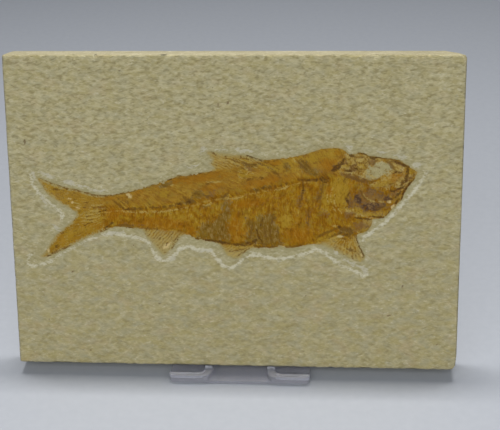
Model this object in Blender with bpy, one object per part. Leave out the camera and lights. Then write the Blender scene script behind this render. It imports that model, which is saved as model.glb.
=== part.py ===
"""A fossil fish slab: a sawn limestone plate with a split front face, the fossil of a small herring-like
fish lying in a shallow prepared hollow in that face, and the clear moulded easel that the plate leans on.

Frame: metres, +Z up. The origin is on the surface that the easel stands on, at the middle of the whole
object's footprint. The fish faces -Y. Points on the plate's face are in millimetres, across and up from
the middle of the face, and heights are along its outward normal.
"""

import math

import bmesh
import bpy
import numpy as np
from mathutils import Vector, noise
from mathutils.geometry import delaunay_2d_cdt

MM = 0.001

# ---- driving dimensions, in metres --------------------------------------------------------------------
SLAB_WIDTH = 0.1500
SLAB_HEIGHT = 0.1067
SLAB_THICKNESS = 0.0100
LEAN = math.radians(15)  # the slab leans back by this much
GAP = 0.0003  # between pieces that touch

STAND_WIDTH = 0.0480
STAND_DEPTH = 0.0460
STAND_SHIFT = 0.0016  # the slab isn't quite centred on its stand
BASE_THICKNESS = 0.0011
LIP_HEIGHT = 0.0030
LIP_THICKNESS = 0.0020
RIB_THICKNESS = 0.0026
RIB_SPACING = 0.0188  # between the ribs' inner faces
SWEEP = (0.0024, 0.0044)  # across and along the rounded corner from rib to lip
REST_LENGTH = 0.0500  # along the slab's back
REST_TOP_WIDTH = 0.0045
FACE_SETBACK = 0.0047  # from the stand's front to the slab's lower front edge
FACE_FOOT_HEIGHT = 0.0041  # of that edge above the table

# ---- relief of the slab's face, in millimetres --------------------------------------------------------
BEDDING_RISE = 0.26  # half the height of the split face's swells
BEDDING_SWELL = (7.0, 4.6)  # their length across and up the face
ARRIS_WIDTH = 0.7  # the worn edge round the face
ARRIS_DROP = 0.35
CORNER_CHIPS = (0.5, 0.9, 1.5, 0.4)  # broken off: upper left, upper right, lower right, lower left
HOLLOW_DEPTH = 0.9  # of the prepared hollow that the fish lies in
MOAT_WIDTH = 0.45  # flat floor left round the fish
SLAB_POINT_SPACING = 3.3

# ---- relief of the fish, in millimetres ---------------------------------------------------------------
FISH_UNDERSIDE = GAP / MM - HOLLOW_DEPTH
FISH_RIM = -0.12  # top of the fins and of the skin's edge
FLANK_RISE = 0.50  # how far the flank swells above the rim
FLANK_SLOPE = 7.0  # over this distance from the outline
FISH_POINT_SPACING = 1.75
VERTEBRA_LENGTH = 2.4
VERTEBRA_RISE = 0.34
BACKBONE_HALF_WIDTH = 0.95
RIB_RISE = 0.18
RIB_HALF_WIDTH = 0.45
RIB_FOOT = -7.8  # height of the ribs' tips on the face
RIB_LEAN = -0.22  # their run towards the tail for each millimetre down
RIB_REACH = (-16.0, 29.0)  # the ribs are between these points of the backbone
RAY_RISE = 0.20
RAY_HALF_WIDTH = 0.38
BONE_RISE = 0.38
BONE_HALF_WIDTH = 0.75
EYE = (47.8, 15.6)
EYE_RADII = (3.6, 2.6)
EYE_DEPTH = 0.42
CHEEK = (45.5, 5.4)
CHEEK_RADII = (7.5, 4.2)
CHEEK_DEPTH = 0.18

# ---- the fish's outline, clockwise from the tip of the tail's upper lobe ------------------------------
TAIL_TOP = [(-65.6, 12.4), (-62.6, 11.4), (-60.0, 10.4), (-57.4, 9.4), (-54.0, 8.8), (-50.0, 7.8),
            (-46.8, 6.8), (-43.5, 6.5)]
BACK = [(-40.0, 6.7), (-36.5, 7.4), (-32.5, 8.5), (-28.5, 9.6), (-25.0, 10.8), (-21.5, 12.1),
        (-18.4, 13.3), (-15.0, 13.6), (-11.5, 14.2), (-8.0, 15.0)]
DORSAL_FIN = [(-6.2, 15.9), (-7.8, 17.2), (-6.8, 18.6), (-8.3, 20.4), (-8.3, 21.6), (-5.5, 21.3),
              (-2.0, 20.9), (1.5, 20.7), (5.0, 20.4), (7.6, 19.5), (10.0, 18.9)]
NAPE = [(13.0, 19.2), (17.0, 19.7), (21.0, 20.4), (25.0, 21.5), (28.8, 22.8), (32.7, 23.2),
        (35.5, 23.0), (37.2, 22.1), (38.4, 20.9)]
SKULL = [(40.0, 21.2), (42.3, 21.5), (44.5, 20.5), (48.0, 20.0), (51.5, 19.6), (54.4, 19.0),
         (57.0, 17.5), (59.3, 16.2), (60.6, 15.1)]
JAW = [(60.2, 13.8), (59.2, 12.1), (57.4, 9.9), (56.4, 8.0), (55.6, 5.9), (53.8, 3.8), (52.0, 1.7),
       (50.4, -0.1), (48.0, -0.9)]
THROAT = [(45.6, -1.4), (45.3, -4.3), (43.8, -5.6), (41.2, -6.2)]
PECTORAL_FIN = [(41.0, -8.6), (42.2, -11.2), (43.6, -13.7), (43.6, -15.0), (41.8, -15.9),
                (39.5, -15.3), (37.4, -14.7), (35.6, -13.4), (34.3, -11.6), (33.2, -9.7)]
BELLY = [(30.2, -9.3), (26.6, -9.8), (23.0, -10.6), (19.5, -11.3), (16.0, -11.1), (12.5, -11.6),
         (9.0, -11.5), (7.0, -11.4)]
PELVIC_FIN = [(5.2, -12.1), (3.3, -13.3), (2.2, -14.8), (0.2, -15.1), (-2.1, -14.2), (-3.4, -12.8),
              (-4.3, -11.0), (-6.0, -9.6)]
VENT = [(-9.5, -9.1), (-12.8, -8.5), (-15.0, -7.3)]
ANAL_FIN = [(-16.6, -7.3), (-18.6, -8.8), (-20.2, -11.2), (-21.9, -13.1), (-23.7, -14.2),
            (-25.1, -13.0), (-26.9, -10.9), (-29.0, -8.4), (-30.8, -5.5)]
TAIL_STEM = [(-34.0, -5.1), (-37.8, -4.7), (-41.2, -5.1)]
TAIL_FOOT = [(-44.3, -6.4), (-48.0, -7.8), (-52.0, -9.7), (-56.5, -12.1), (-60.8, -14.2),
             (-64.4, -15.6), (-66.0, -15.0)]
TAIL_FORK = [(-64.0, -13.3), (-62.3, -10.5), (-60.2, -7.5), (-57.1, -4.9), (-53.8, -1.9),
             (-53.0, 0.2), (-56.0, 2.2), (-59.6, 4.4), (-62.4, 6.8), (-64.3, 9.6)]
FISH_OUTLINE = (TAIL_TOP + BACK + DORSAL_FIN + NAPE + SKULL + JAW + THROAT + PECTORAL_FIN + BELLY
                + PELVIC_FIN + VENT + ANAL_FIN + TAIL_STEM + TAIL_FOOT + TAIL_FORK)

# ---- the prepared hollow's edge, where the preparator's scribe stopped, clockwise ---------------------
HOLLOW_ABOVE = [(-67.2, 14.4), (-63.5, 14.0), (-60.0, 12.9), (-55.0, 10.9), (-50.0, 9.9), (-45.0, 8.8),
                (-40.0, 8.5), (-35.0, 9.3), (-30.0, 10.9), (-25.0, 12.6), (-20.0, 14.6),
                (-15.0, 16.2), (-11.8, 17.6), (-10.8, 20.6), (-9.2, 23.2), (-5.0, 23.0), (0.0, 22.6),
                (4.0, 22.9), (8.0, 21.9), (13.0, 21.3), (18.0, 22.0), (23.0, 22.9), (28.0, 24.4),
                (33.0, 25.2), (38.0, 24.0), (43.0, 23.0), (49.0, 22.0), (55.0, 20.9), (60.0, 18.4),
                (62.8, 16.2)]
HOLLOW_HEAD = [(62.8, 14.2), (61.6, 11.7), (58.9, 8.0), (55.9, 4.6), (54.2, 2.5), (50.2, -2.1),
               (47.8, -3.9), (45.4, -5.7), (43.2, -7.5), (44.0, -9.5), (44.5, -12.5), (44.8, -18.6),
               (44.2, -20.3), (42.6, -20.4), (38.6, -18.0), (33.8, -15.3), (29.7, -12.5),
               (28.2, -11.5)]
HOLLOW_BELOW = [(26.6, -11.9), (24.5, -12.9), (21.0, -13.6), (18.0, -14.5), (15.0, -15.0),
                (12.0, -14.5), (8.8, -13.9), (6.0, -13.9), (3.8, -14.8), (2.0, -16.2), (0.4, -17.8),
                (-1.2, -18.4), (-2.9, -18.0), (-6.0, -14.7), (-7.6, -12.8), (-9.7, -12.2),
                (-12.2, -12.2), (-14.6, -11.1), (-16.6, -11.4), (-18.4, -12.2), (-20.2, -14.2),
                (-22.2, -15.8), (-24.2, -16.1), (-26.0, -14.9), (-28.6, -10.3), (-30.4, -8.9),
                (-33.0, -7.9), (-36.5, -7.5), (-40.0, -7.0), (-43.2, -7.0)]
HOLLOW_TAIL = [(-46.6, -8.4), (-49.6, -9.4), (-57.0, -13.2), (-61.0, -15.8), (-64.5, -17.5),
               (-68.4, -18.5), (-70.2, -17.6), (-70.0, -16.0), (-66.0, -10.4), (-63.4, -8.6),
               (-60.6, -5.6), (-58.6, -3.6), (-57.6, -0.9), (-59.2, 1.4), (-64.2, 6.0), (-66.2, 8.4),
               (-67.3, 10.6), (-67.9, 13.2)]
HOLLOW_OUTLINE = HOLLOW_ABOVE + HOLLOW_HEAD + HOLLOW_BELOW + HOLLOW_TAIL

# ---- the skeleton's main lines ------------------------------------------------------------------------
BACKBONE = [(-42.5, 1.0), (-37.0, 1.6), (-27.0, 1.6), (-18.0, 2.3), (-10.0, 4.3), (0.0, 6.0),
            (8.0, 7.6), (16.0, 9.4), (24.0, 11.3), (31.5, 12.6)]
SKULL_BONES = [
    [(40.5, 20.9), (44.0, 20.3), (46.0, 19.4), (50.0, 19.1), (54.0, 18.6)],  # skull roof
    [(51.5, 17.9), (54.5, 17.5), (57.0, 16.5)],  # brow
    [(57.0, 16.2), (57.1, 13.9), (56.2, 11.6)],  # upper jaw
    [(58.8, 12.3), (56.4, 10.3), (53.0, 8.9)],  # lower jaw
    [(54.4, 6.6), (51.8, 3.6), (49.6, 1.0), (46.0, 0.4), (41.0, 0.1)],  # jaw's lower edge
    [(33.0, 15.8), (35.4, 19.0)],  # back of the skull
    [(36.0, 14.3), (39.5, 13.4), (42.5, 12.1), (46.0, 12.0)],  # below the eye
    [(38.2, 8.4), (37.1, 6.4), (37.5, 3.8), (38.6, 1.8)],  # gill cover's hind edge
    [(42.0, 8.6), (44.2, 6.0), (47.2, 5.0), (50.6, 5.3)],  # cheek ridge
    [(27.5, -7.7), (31.5, -5.8), (35.6, -4.1), (38.4, -4.4)],  # shoulder girdle
    [(33.0, 11.4), (33.4, 6.4), (34.6, 2.0)],  # shoulder's front edge
]

# A fin's rays run from its root to its margin. Each row: root start and end, margin start and end, count.
FIN_RAYS = {
    "tail_upper": ((-43.0, 5.8), (-43.6, 0.9), (-63.6, 11.2), (-54.4, 1.3), 8),
    "tail_lower": ((-43.6, 0.1), (-42.6, -4.4), (-54.6, -1.8), (-64.0, -14.6), 8),
    "dorsal": ((8.4, 18.0), (-3.0, 15.6), (3.6, 20.0), (-7.2, 20.6), 8),
    "anal": ((-17.2, -6.6), (-29.8, -5.8), (-22.6, -13.2), (-29.6, -7.0), 9),
    "pelvic": ((6.2, -10.8), (-2.6, -10.6), (2.0, -14.1), (-2.8, -13.4), 5),
    "pectoral": ((39.6, -6.8), (36.0, -7.2), (42.8, -14.0), (35.6, -12.4), 5),
}


# ---- curves and distances on the slab's face ----------------------------------------------------------
def smooth(share):
    """0 to 1 with level ends."""
    share = np.clip(share, 0.0, 1.0)
    return share * share * (3.0 - 2.0 * share)


def spline(points, steps, closed=False):
    """A Catmull-Rom curve through the points, with that many steps between each two."""
    p = np.array(points, float)
    count = len(p) if closed else len(p) - 1
    ends = p if closed else np.vstack([2 * p[0] - p[1], p, 2 * p[-1] - p[-2]])
    line = []
    for i in range(count):
        a, b, c, d = (ends[(i + k - 1) % len(p)] if closed else ends[i + k] for k in range(4))
        for t in np.arange(steps) / steps:
            line.append(0.5 * (2 * b + (c - a) * t + (2 * a - 5 * b + 4 * c - d) * t**2
                               + (3 * b - a - 3 * c + d) * t**3))
    if not closed:
        line.append(p[-1])
    return np.array(line)


def distance_along(points, line):
    """(distance from each point to the polyline, length along the line to the nearest place)."""
    nearest = np.full(len(points), np.inf)
    along = np.zeros(len(points))
    start = 0.0
    for a, b in zip(line[:-1], line[1:]):
        step = b - a
        length = np.linalg.norm(step)
        t = np.clip((points - a) @ step / length**2, 0.0, 1.0)
        d = np.linalg.norm(points - a - t[:, None] * step, axis=1)
        closer = d < nearest
        nearest[closer] = d[closer]
        along[closer] = start + t[closer] * length
        start += length
    return nearest, along


def inside(points, outline):
    """True for each point within the closed outline."""
    odd = np.zeros(len(points), bool)
    x, y = points.T
    for (ax, ay), (bx, by) in zip(outline, np.roll(outline, -1, axis=0)):
        crosses = (ay > y) != (by > y)
        if ay != by:
            odd ^= crosses & (x < ax + (y - ay) * (bx - ax) / (by - ay))
    return odd


def signed_distance(points, outline):
    """Distance to the closed outline, positive inside it."""
    far, _ = distance_along(points, np.vstack([outline, outline[:1]]))
    return np.where(inside(points, outline), far, -far)


def grown(outline, by):
    """The clockwise outline moved outwards."""
    ahead = np.roll(outline, -1, axis=0) - np.roll(outline, 1, axis=0)
    ahead /= np.linalg.norm(ahead, axis=1)[:, None]
    return outline + by * np.column_stack([-ahead[:, 1], ahead[:, 0]])


def beside(line, by):
    """The open line moved sideways, to its left."""
    ahead = np.gradient(line, axis=0)
    ahead /= np.linalg.norm(ahead, axis=1)[:, None]
    return line + by * np.column_stack([-ahead[:, 1], ahead[:, 0]])


def stations(line, spacing):
    """Points at even spacing along a polyline."""
    along = np.append(0.0, np.cumsum(np.linalg.norm(np.diff(line, axis=0), axis=1)))
    at = np.arange(0.0, along[-1], spacing)
    return np.column_stack([np.interp(at, along, line[:, k]) for k in (0, 1)])


def oval(centre, radii, share, steps):
    """A closed oval line about the centre."""
    turns = np.linspace(0, 2 * math.pi, steps + 1)
    return np.column_stack([centre[k] + share * radii[k] * wave
                            for k, wave in enumerate((np.cos(turns), np.sin(turns)))])


def ribs():
    """The ribs below the backbone, one for each vertebra of the trunk."""
    lines = []
    for x, y in stations(SPINE, VERTEBRA_LENGTH):
        if RIB_REACH[0] < x < RIB_REACH[1]:
            drop = np.linspace(BACKBONE_HALF_WIDTH + RIB_HALF_WIDTH, y - RIB_FOOT, 4)
            bow = 0.5 * np.sin(math.pi * (drop - drop[0]) / (drop[-1] - drop[0]))
            lines.append(np.column_stack([x + RIB_LEAN * drop + bow, y - drop]))
    return lines


def fin_rays():
    """Every fin ray as a straight line of three points."""
    rays = []
    for root_a, root_b, margin_a, margin_b, count in FIN_RAYS.values():
        for share in np.linspace(0.0, 1.0, count):
            root = np.array(root_a) * (1 - share) + np.array(root_b) * share
            margin = np.array(margin_a) * (1 - share) + np.array(margin_b) * share
            rays.append(np.array([root, (root + margin) / 2, margin]))
    return rays


def chipped_rectangle(inset, spacing):
    """The face's clockwise outline, moved inwards, with its corners broken off and points along its
    sides."""
    x, y = SLAB_WIDTH / 2 / MM - inset, SLAB_HEIGHT / 2 / MM - inset
    corners = []
    for (sx, sy), chip in zip(((-1, 1), (1, 1), (1, -1), (-1, -1)), CORNER_CHIPS):
        cuts = [(sx * x, sy * (y - chip)), (sx * (x - 1.3 * chip), sy * y)]
        corners += cuts if sx * sy < 0 else cuts[::-1]
    corners = np.array(corners + corners[:1])
    line = []
    for a, b in zip(corners[:-1], corners[1:]):
        count = max(1, round(np.linalg.norm(b - a) / spacing))
        line += [a + (b - a) * i / count for i in range(count)]
    return np.array(line)


# ---- heights ------------------------------------------------------------------------------------------
OUTLINE = spline(FISH_OUTLINE, 2, closed=True)
HOLLOW_EDGE = np.array(HOLLOW_OUTLINE)
SPINE = stations(spline(BACKBONE, 12), VERTEBRA_LENGTH / 2)
BONES = [spline(bone, 2) for bone in SKULL_BONES]
RAYS = fin_rays()
RIBS = ribs()


def ridge(points, line, rise, half_width):
    """A round-topped ridge along the line."""
    far, _ = distance_along(points, line)
    return rise * smooth(1.0 - far / half_width)


def backbone_ridge(points):
    """A ridge with a swelling for each vertebra."""
    far, along = distance_along(points, SPINE)
    swelling = 0.6 + 0.4 * np.cos(2 * math.pi * along / VERTEBRA_LENGTH)
    return VERTEBRA_RISE * swelling * smooth(1.0 - far / BACKBONE_HALF_WIDTH)


def dish(points, centre, radii, depth):
    """A smooth hollow of oval outline with a level floor."""
    share = np.linalg.norm((points - centre) / np.array(radii), axis=1)
    return -depth * smooth((1.15 - share) / 0.6)


def fish_height(points):
    """Top of the fossil at each point of the face."""
    height = FISH_RIM + FLANK_RISE * smooth(signed_distance(points, OUTLINE) / FLANK_SLOPE)
    height += backbone_ridge(points)
    height += np.max([ridge(points, bone, BONE_RISE, BONE_HALF_WIDTH) for bone in BONES], axis=0)
    height += np.max([ridge(points, ray, RAY_RISE, RAY_HALF_WIDTH) for ray in RAYS], axis=0)
    height += np.max([ridge(points, rib, RIB_RISE, RIB_HALF_WIDTH) for rib in RIBS], axis=0)
    height += dish(points, EYE, EYE_RADII, EYE_DEPTH)
    height += dish(points, CHEEK, CHEEK_RADII, CHEEK_DEPTH)
    return height


def slab_height(points):
    """The stone's front face: split bedding, a worn edge and the hollow prepared round the fish."""
    across, up = BEDDING_SWELL
    height = np.array([noise.noise(Vector((x / across, y / up, 0.0))) for x, y in points])
    height *= BEDDING_RISE
    from_edge = signed_distance(points, chipped_rectangle(0.0, 50.0))
    height -= ARRIS_DROP * smooth(1.0 - from_edge / ARRIS_WIDTH)
    clear_of_fish = np.clip(-signed_distance(points, OUTLINE) - MOAT_WIDTH, 0.0, None)
    into_hollow = np.clip(signed_distance(points, HOLLOW_EDGE), 0.0, None)
    up_slope = smooth(clear_of_fish / np.maximum(clear_of_fish + into_hollow, 1e-6))
    return height * up_slope - HOLLOW_DEPTH * (1.0 - up_slope)


# ---- meshes -------------------------------------------------------------------------------------------
def scattered(low, high, spacing):
    """Points in staggered rows across a rectangle, each a little off its row."""
    points = []
    rows = np.arange(low[1] + spacing / 2, high[1], spacing * math.sqrt(0.75))
    for row, y in enumerate(rows):
        for x in np.arange(low[0] + spacing * (0.5 + 0.5 * (row % 2)), high[0], spacing):
            nudge = noise.noise_vector(Vector((x, y, 7.0))) * spacing * 0.3
            points.append((x + nudge.x, y + nudge.y))
    return np.array(points)


def clear_of(points, lines, distance):
    """Those points that are further than the distance from every line."""
    for line in lines:
        points = points[distance_along(points, line)[0] > distance]
    return points


def relief_solid(name, outline, lines, loose, height, underside, material):
    """A solid whose top is a relief over the outline and whose underside is flat. The top's triangles
    have the lines among their edges."""
    corners = [Vector(p) for p in outline]
    edges = []
    for line in lines:
        first = len(corners)
        corners += [Vector(p) for p in line]
        edges += [(i, i + 1) for i in range(first, len(corners) - 1)]
    corners += [Vector(p) for p in loose]
    face = list(range(len(outline)))
    made = delaunay_2d_cdt(corners, edges, [face], 1, 1e-4)
    flat = np.array([(p.x, p.y) for p in made[0]])
    tops = height(flat)
    mesh = bmesh.new()
    verts = [mesh.verts.new((x, y, z)) for (x, y), z in zip(flat * MM, tops * MM)]
    top = [mesh.faces.new([verts[i] for i in corner]) for corner in made[2]]
    bmesh.ops.recalc_face_normals(mesh, faces=top)
    if sum(f.normal.z for f in top) < 0:
        bmesh.ops.reverse_faces(mesh, faces=top)
    grown_out = bmesh.ops.extrude_face_region(mesh, geom=top, use_keep_orig=True)["geom"]
    bottom = [item for item in grown_out if isinstance(item, bmesh.types.BMFace)]
    for vert in {v for f in bottom for v in f.verts}:
        vert.co.z = underside * MM
    bmesh.ops.dissolve_faces(mesh, faces=bottom, use_verts=False)
    bmesh.ops.recalc_face_normals(mesh, faces=mesh.faces[:])
    return add_mesh(name, mesh, material)


def add_mesh(name, mesh, material):
    """Makes the bmesh an object of the part's collection."""
    data = bpy.data.meshes.new(name)
    mesh.to_mesh(data)
    mesh.free()
    data.materials.append(material)
    obj = bpy.data.objects.new(name, data)
    bpy.data.collections["fossil_fish_slab"].objects.link(obj)
    return obj


def material_of(name, colour, roughness, transmission=0.0):
    material = bpy.data.materials.new(name)
    material.use_nodes = True
    shader = material.node_tree.nodes["Principled BSDF"]
    shader.inputs["Base Color"].default_value = (*colour, 1.0)
    shader.inputs["Roughness"].default_value = roughness
    shader.inputs["Metallic"].default_value = 0.0
    shader.inputs["Transmission Weight"].default_value = transmission
    return material


# ---- the slab and the fish ----------------------------------------------------------------------------
def slab_pose():
    """An empty at the middle of the slab's face: its X runs across the face, its Y up it."""
    pose = bpy.data.objects.new("slab_pose", None)
    bpy.data.collections["fossil_fish_slab"].objects.link(pose)
    pose.rotation_euler = (math.pi / 2 - LEAN, 0.0, 0.0)
    foot_y, foot_z = face_foot()
    half = SLAB_HEIGHT / 2
    pose.location = (0.0, foot_y + half * math.sin(LEAN), foot_z + half * math.cos(LEAN))
    return pose


def limestone_slab(pose):
    border = chipped_rectangle(0.0, SLAB_POINT_SPACING * 1.6)
    worn = chipped_rectangle(ARRIS_WIDTH, SLAB_POINT_SPACING)
    moat = grown(OUTLINE, MOAT_WIDTH)
    lines = [np.vstack([ring, ring[:1]]) for ring in (worn, HOLLOW_EDGE, moat)]
    loose = scattered(border.min(axis=0), border.max(axis=0), SLAB_POINT_SPACING)
    loose = clear_of(loose, lines, SLAB_POINT_SPACING * 0.35)
    loose = loose[signed_distance(loose, worn) > 0]
    loose = loose[signed_distance(loose, moat) < 0]
    stone = material_of("limestone", (0.41, 0.36, 0.22), 0.92)
    slab = relief_solid("limestone_slab", border, lines, loose, slab_height,
                        -SLAB_THICKNESS / MM, stone)
    slab.parent = pose
    return slab


def with_flanks(line, half_width):
    """A ridge's crest and its two feet."""
    return [beside(line, -half_width), line, beside(line, half_width)]


def fossil_fish(pose):
    lines = [oval(EYE, EYE_RADII, share, steps) for share, steps in ((0.55, 10), (1.12, 16))]
    lines += with_flanks(SPINE, BACKBONE_HALF_WIDTH)
    for crests, half_width in ((BONES, BONE_HALF_WIDTH), (RAYS, RAY_HALF_WIDTH),
                               (RIBS, RIB_HALF_WIDTH)):
        for crest in crests:
            lines += with_flanks(crest, half_width)
    rim = np.vstack([OUTLINE, OUTLINE[:1]])
    loose = scattered(OUTLINE.min(axis=0), OUTLINE.max(axis=0), FISH_POINT_SPACING)
    loose = loose[signed_distance(loose, OUTLINE) > 0]
    loose = clear_of(loose, [rim, *lines], FISH_POINT_SPACING * 0.4)
    inner = [line[signed_distance(line, OUTLINE) > 0.15] for line in lines]
    skin = material_of("fossil_skin_and_bone", (0.32, 0.15, 0.025), 0.7)
    fish = relief_solid("fossil_fish", OUTLINE, [line for line in inner if len(line) > 1], loose,
                        fish_height, FISH_UNDERSIDE, skin)
    fish.parent = pose
    return fish


# ---- the stand ----------------------------------------------------------------------------------------
def face_foot():
    """(y, z) of the slab's lower front edge."""
    return -STAND_DEPTH / 2 + FACE_SETBACK, FACE_FOOT_HEIGHT


def on_slab(up, behind):
    """(y, z) of a point in the slab's side view: up its face from the lower edge, and behind it."""
    foot_y, foot_z = face_foot()
    return (foot_y + up * math.sin(LEAN) + behind * math.cos(LEAN),
            foot_z + up * math.cos(LEAN) - behind * math.sin(LEAN))


def arc(centre, radius, start, end, steps):
    """Points along an arc, in degrees anticlockwise from +X."""
    turns = np.radians(np.linspace(start, end, steps + 1))
    return [(centre[0] + radius * math.cos(t), centre[1] + radius * math.sin(t)) for t in turns]


def plate(name, outline, thickness):
    """A flat outline in its own XY plane, given thickness both ways along Z, as a mesh object."""
    curve = bpy.data.curves.new(name, "CURVE")
    curve.dimensions = "2D"
    curve.fill_mode = "BOTH"
    curve.extrude = thickness / 2
    side = curve.splines.new("POLY")
    side.points.add(len(outline) - 1)
    for point, (x, y) in zip(side.points, outline):
        point.co = (x, y, 0.0, 1.0)
    side.use_cyclic_u = True
    sketch = bpy.data.objects.new(name, curve)
    bpy.data.collections["fossil_fish_slab"].objects.link(sketch)
    graph = bpy.context.evaluated_depsgraph_get()
    mesh = bmesh.new()
    mesh.from_mesh(bpy.data.meshes.new_from_object(sketch.evaluated_get(graph)))
    bmesh.ops.remove_doubles(mesh, verts=mesh.verts[:], dist=1e-6)
    bpy.data.objects.remove(sketch)
    return add_mesh(name, mesh, bpy.data.materials["clear_plastic"])


def base_plate():
    """The thin foot, with its corners rounded."""
    x, y, r = STAND_WIDTH / 2, STAND_DEPTH / 2, 0.0020
    outline = (arc((x - r, y - r), r, 0, 90, 4) + arc((r - x, y - r), r, 90, 180, 4)
               + arc((r - x, r - y), r, 180, 270, 4) + arc((x - r, r - y), r, 270, 360, 4))
    base = plate("base", outline, BASE_THICKNESS)
    base.location = (STAND_SHIFT, 0.0, BASE_THICKNESS / 2)
    return base


def front_lip(side):
    """The low upstand in front of the slab, swept round into the rib behind it, seen from above."""
    front = -STAND_DEPTH / 2
    inner, outer, r = RIB_SPACING / 2, STAND_WIDTH / 2, 0.0016
    across, along = SWEEP
    rear = front + along + 0.0006
    outline = [(inner, rear)]
    outline += [(inner + across * (1 + x), front + along * (1 + y))
                for x, y in arc((0, 0), 1.0, 180, 270, 7)]
    outline += arc((outer - r, front + r), r, 270, 360, 4)
    outline += [(outer, front + LIP_THICKNESS), (inner + 2.1 * across, front + LIP_THICKNESS)]
    outline += [(inner + RIB_THICKNESS + 0.0007, front + LIP_THICKNESS + 0.0006)]
    outline += [(inner + RIB_THICKNESS, front + LIP_THICKNESS + 0.0018), (inner + RIB_THICKNESS, rear)]
    if side < 0:
        outline = [(-x, y) for x, y in reversed(outline)]
    low = BASE_THICKNESS / 2
    lip = plate("lip", outline, LIP_HEIGHT - low)
    lip.location = (STAND_SHIFT, 0.0, (LIP_HEIGHT + low) / 2)
    return lip


def side_rib(side):
    """The upright side plate: a seat under the slab, a rest along its back and a curved hind edge."""
    behind = SLAB_THICKNESS + GAP
    front, rear, low = -STAND_DEPTH / 2 + SWEEP[1], STAND_DEPTH / 2 - 0.0010, BASE_THICKNESS / 2
    top_front = on_slab(REST_LENGTH, behind)
    top_rear = on_slab(REST_LENGTH, behind + REST_TOP_WIDTH)
    seat_front = on_slab(-GAP, 0.0002)
    outline = [(front, low), (rear, low), (rear, 0.0030)]
    bend = on_slab(0.0140, behind + 0.0135)
    for t in np.linspace(0.15, 0.95, 8):
        y = (1 - t) ** 2 * rear + 2 * t * (1 - t) * bend[0] + t**2 * top_rear[0]
        z = (1 - t) ** 2 * 0.0030 + 2 * t * (1 - t) * bend[1] + t**2 * top_rear[1]
        outline.append((y, z))
    outline += [top_rear, on_slab(REST_LENGTH + 0.0012, behind + REST_TOP_WIDTH / 2), top_front]
    outline += [on_slab(-GAP, behind), seat_front, (front, LIP_HEIGHT + 0.0003)]
    rib = plate("rib", outline, RIB_THICKNESS)
    rib.rotation_euler = (math.pi / 2, 0.0, math.pi / 2)
    rib.location = (STAND_SHIFT + side * (RIB_SPACING + RIB_THICKNESS) / 2, 0.0, 0.0)
    return rib


def rest_panel():
    """The panel between the ribs, flush with their front edges."""
    low, high, thickness = 0.0020, REST_LENGTH - 0.0010, 0.0016
    half = RIB_SPACING / 2 + RIB_THICKNESS / 2
    panel = plate("panel", [(-half, low), (half, low), (half, high), (-half, high)], thickness)
    panel.rotation_euler = (math.pi / 2 - LEAN, 0.0, 0.0)
    y, z = on_slab(0.0, SLAB_THICKNESS + GAP + thickness / 2 + 0.0001)
    panel.location = (STAND_SHIFT, y, z)
    return panel


def display_stand():
    """One clear moulding: a base, two lips, two ribs and a rest panel."""
    material_of("clear_plastic", (0.95, 0.96, 0.97), 0.05, 1.0)
    stand = base_plate()
    stand.name = "display_stand"
    pieces = [rest_panel()] + [make(side) for make in (side_rib, front_lip) for side in (-1, 1)]
    for piece in pieces:
        union = stand.modifiers.new("join", "BOOLEAN")
        union.operation = "UNION"
        union.object = piece
        piece.hide_render = True
        piece.display_type = "WIRE"
        bpy.data.collections["fossil_fish_slab"].objects.unlink(piece)
        bpy.data.collections["stand_pieces"].objects.link(piece)
    return stand


def main():
    for obj in list(bpy.data.objects):
        bpy.data.objects.remove(obj)
    for name in ("fossil_fish_slab", "stand_pieces"):
        bpy.context.scene.collection.children.link(bpy.data.collections.new(name))
    pose = slab_pose()
    limestone_slab(pose)
    fossil_fish(pose)
    display_stand()


main()
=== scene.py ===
"""A fossil fish slab: a sawn and split plate of pale limestone with a small herring-like fish in low
relief, leaning on a clear moulded easel.

Points on the plate's face are in millimetres: u across from the middle of the face, v up it, and h out
of it. Colours are sRGB, from 0 to 255, and are turned into linear light where they are used.
"""

import math
from collections import namedtuple

import bmesh
import bpy
import numpy as np
from mathutils import Matrix, Vector
from mathutils.geometry import delaunay_2d_cdt


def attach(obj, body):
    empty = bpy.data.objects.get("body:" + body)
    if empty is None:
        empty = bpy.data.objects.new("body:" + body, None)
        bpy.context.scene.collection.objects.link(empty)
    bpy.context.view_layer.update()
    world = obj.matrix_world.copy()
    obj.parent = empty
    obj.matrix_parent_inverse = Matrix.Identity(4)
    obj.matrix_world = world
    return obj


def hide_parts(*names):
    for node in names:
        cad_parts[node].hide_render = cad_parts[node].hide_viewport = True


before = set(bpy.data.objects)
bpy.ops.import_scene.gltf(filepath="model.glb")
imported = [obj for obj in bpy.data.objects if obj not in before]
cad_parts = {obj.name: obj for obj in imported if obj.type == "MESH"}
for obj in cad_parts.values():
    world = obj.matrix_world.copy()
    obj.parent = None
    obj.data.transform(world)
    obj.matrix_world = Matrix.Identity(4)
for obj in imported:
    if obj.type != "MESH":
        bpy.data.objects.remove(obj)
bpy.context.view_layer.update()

MM = 0.001
PLACE = "place_on_slab"  # the attribute that holds each point's (u, v, h)

# ---- the slab and where its face is -------------------------------------------------------------------
SLAB_WIDTH = 150.0
SLAB_HEIGHT = 106.7
SLAB_THICKNESS = 10.0
LEAN = math.radians(15)
FACE_FOOT = (-18.3, 4.1)  # y and z of the face's lower edge
HALF = np.array([SLAB_WIDTH, SLAB_HEIGHT]) / 2
FACE_POSE = Matrix.Translation(Vector((
    0.0,
    FACE_FOOT[0] + HALF[1] * math.sin(LEAN),
    FACE_FOOT[1] + HALF[1] * math.cos(LEAN),
)) * MM) @ Matrix.Rotation(math.pi / 2 - LEAN, 4, "X")
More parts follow.
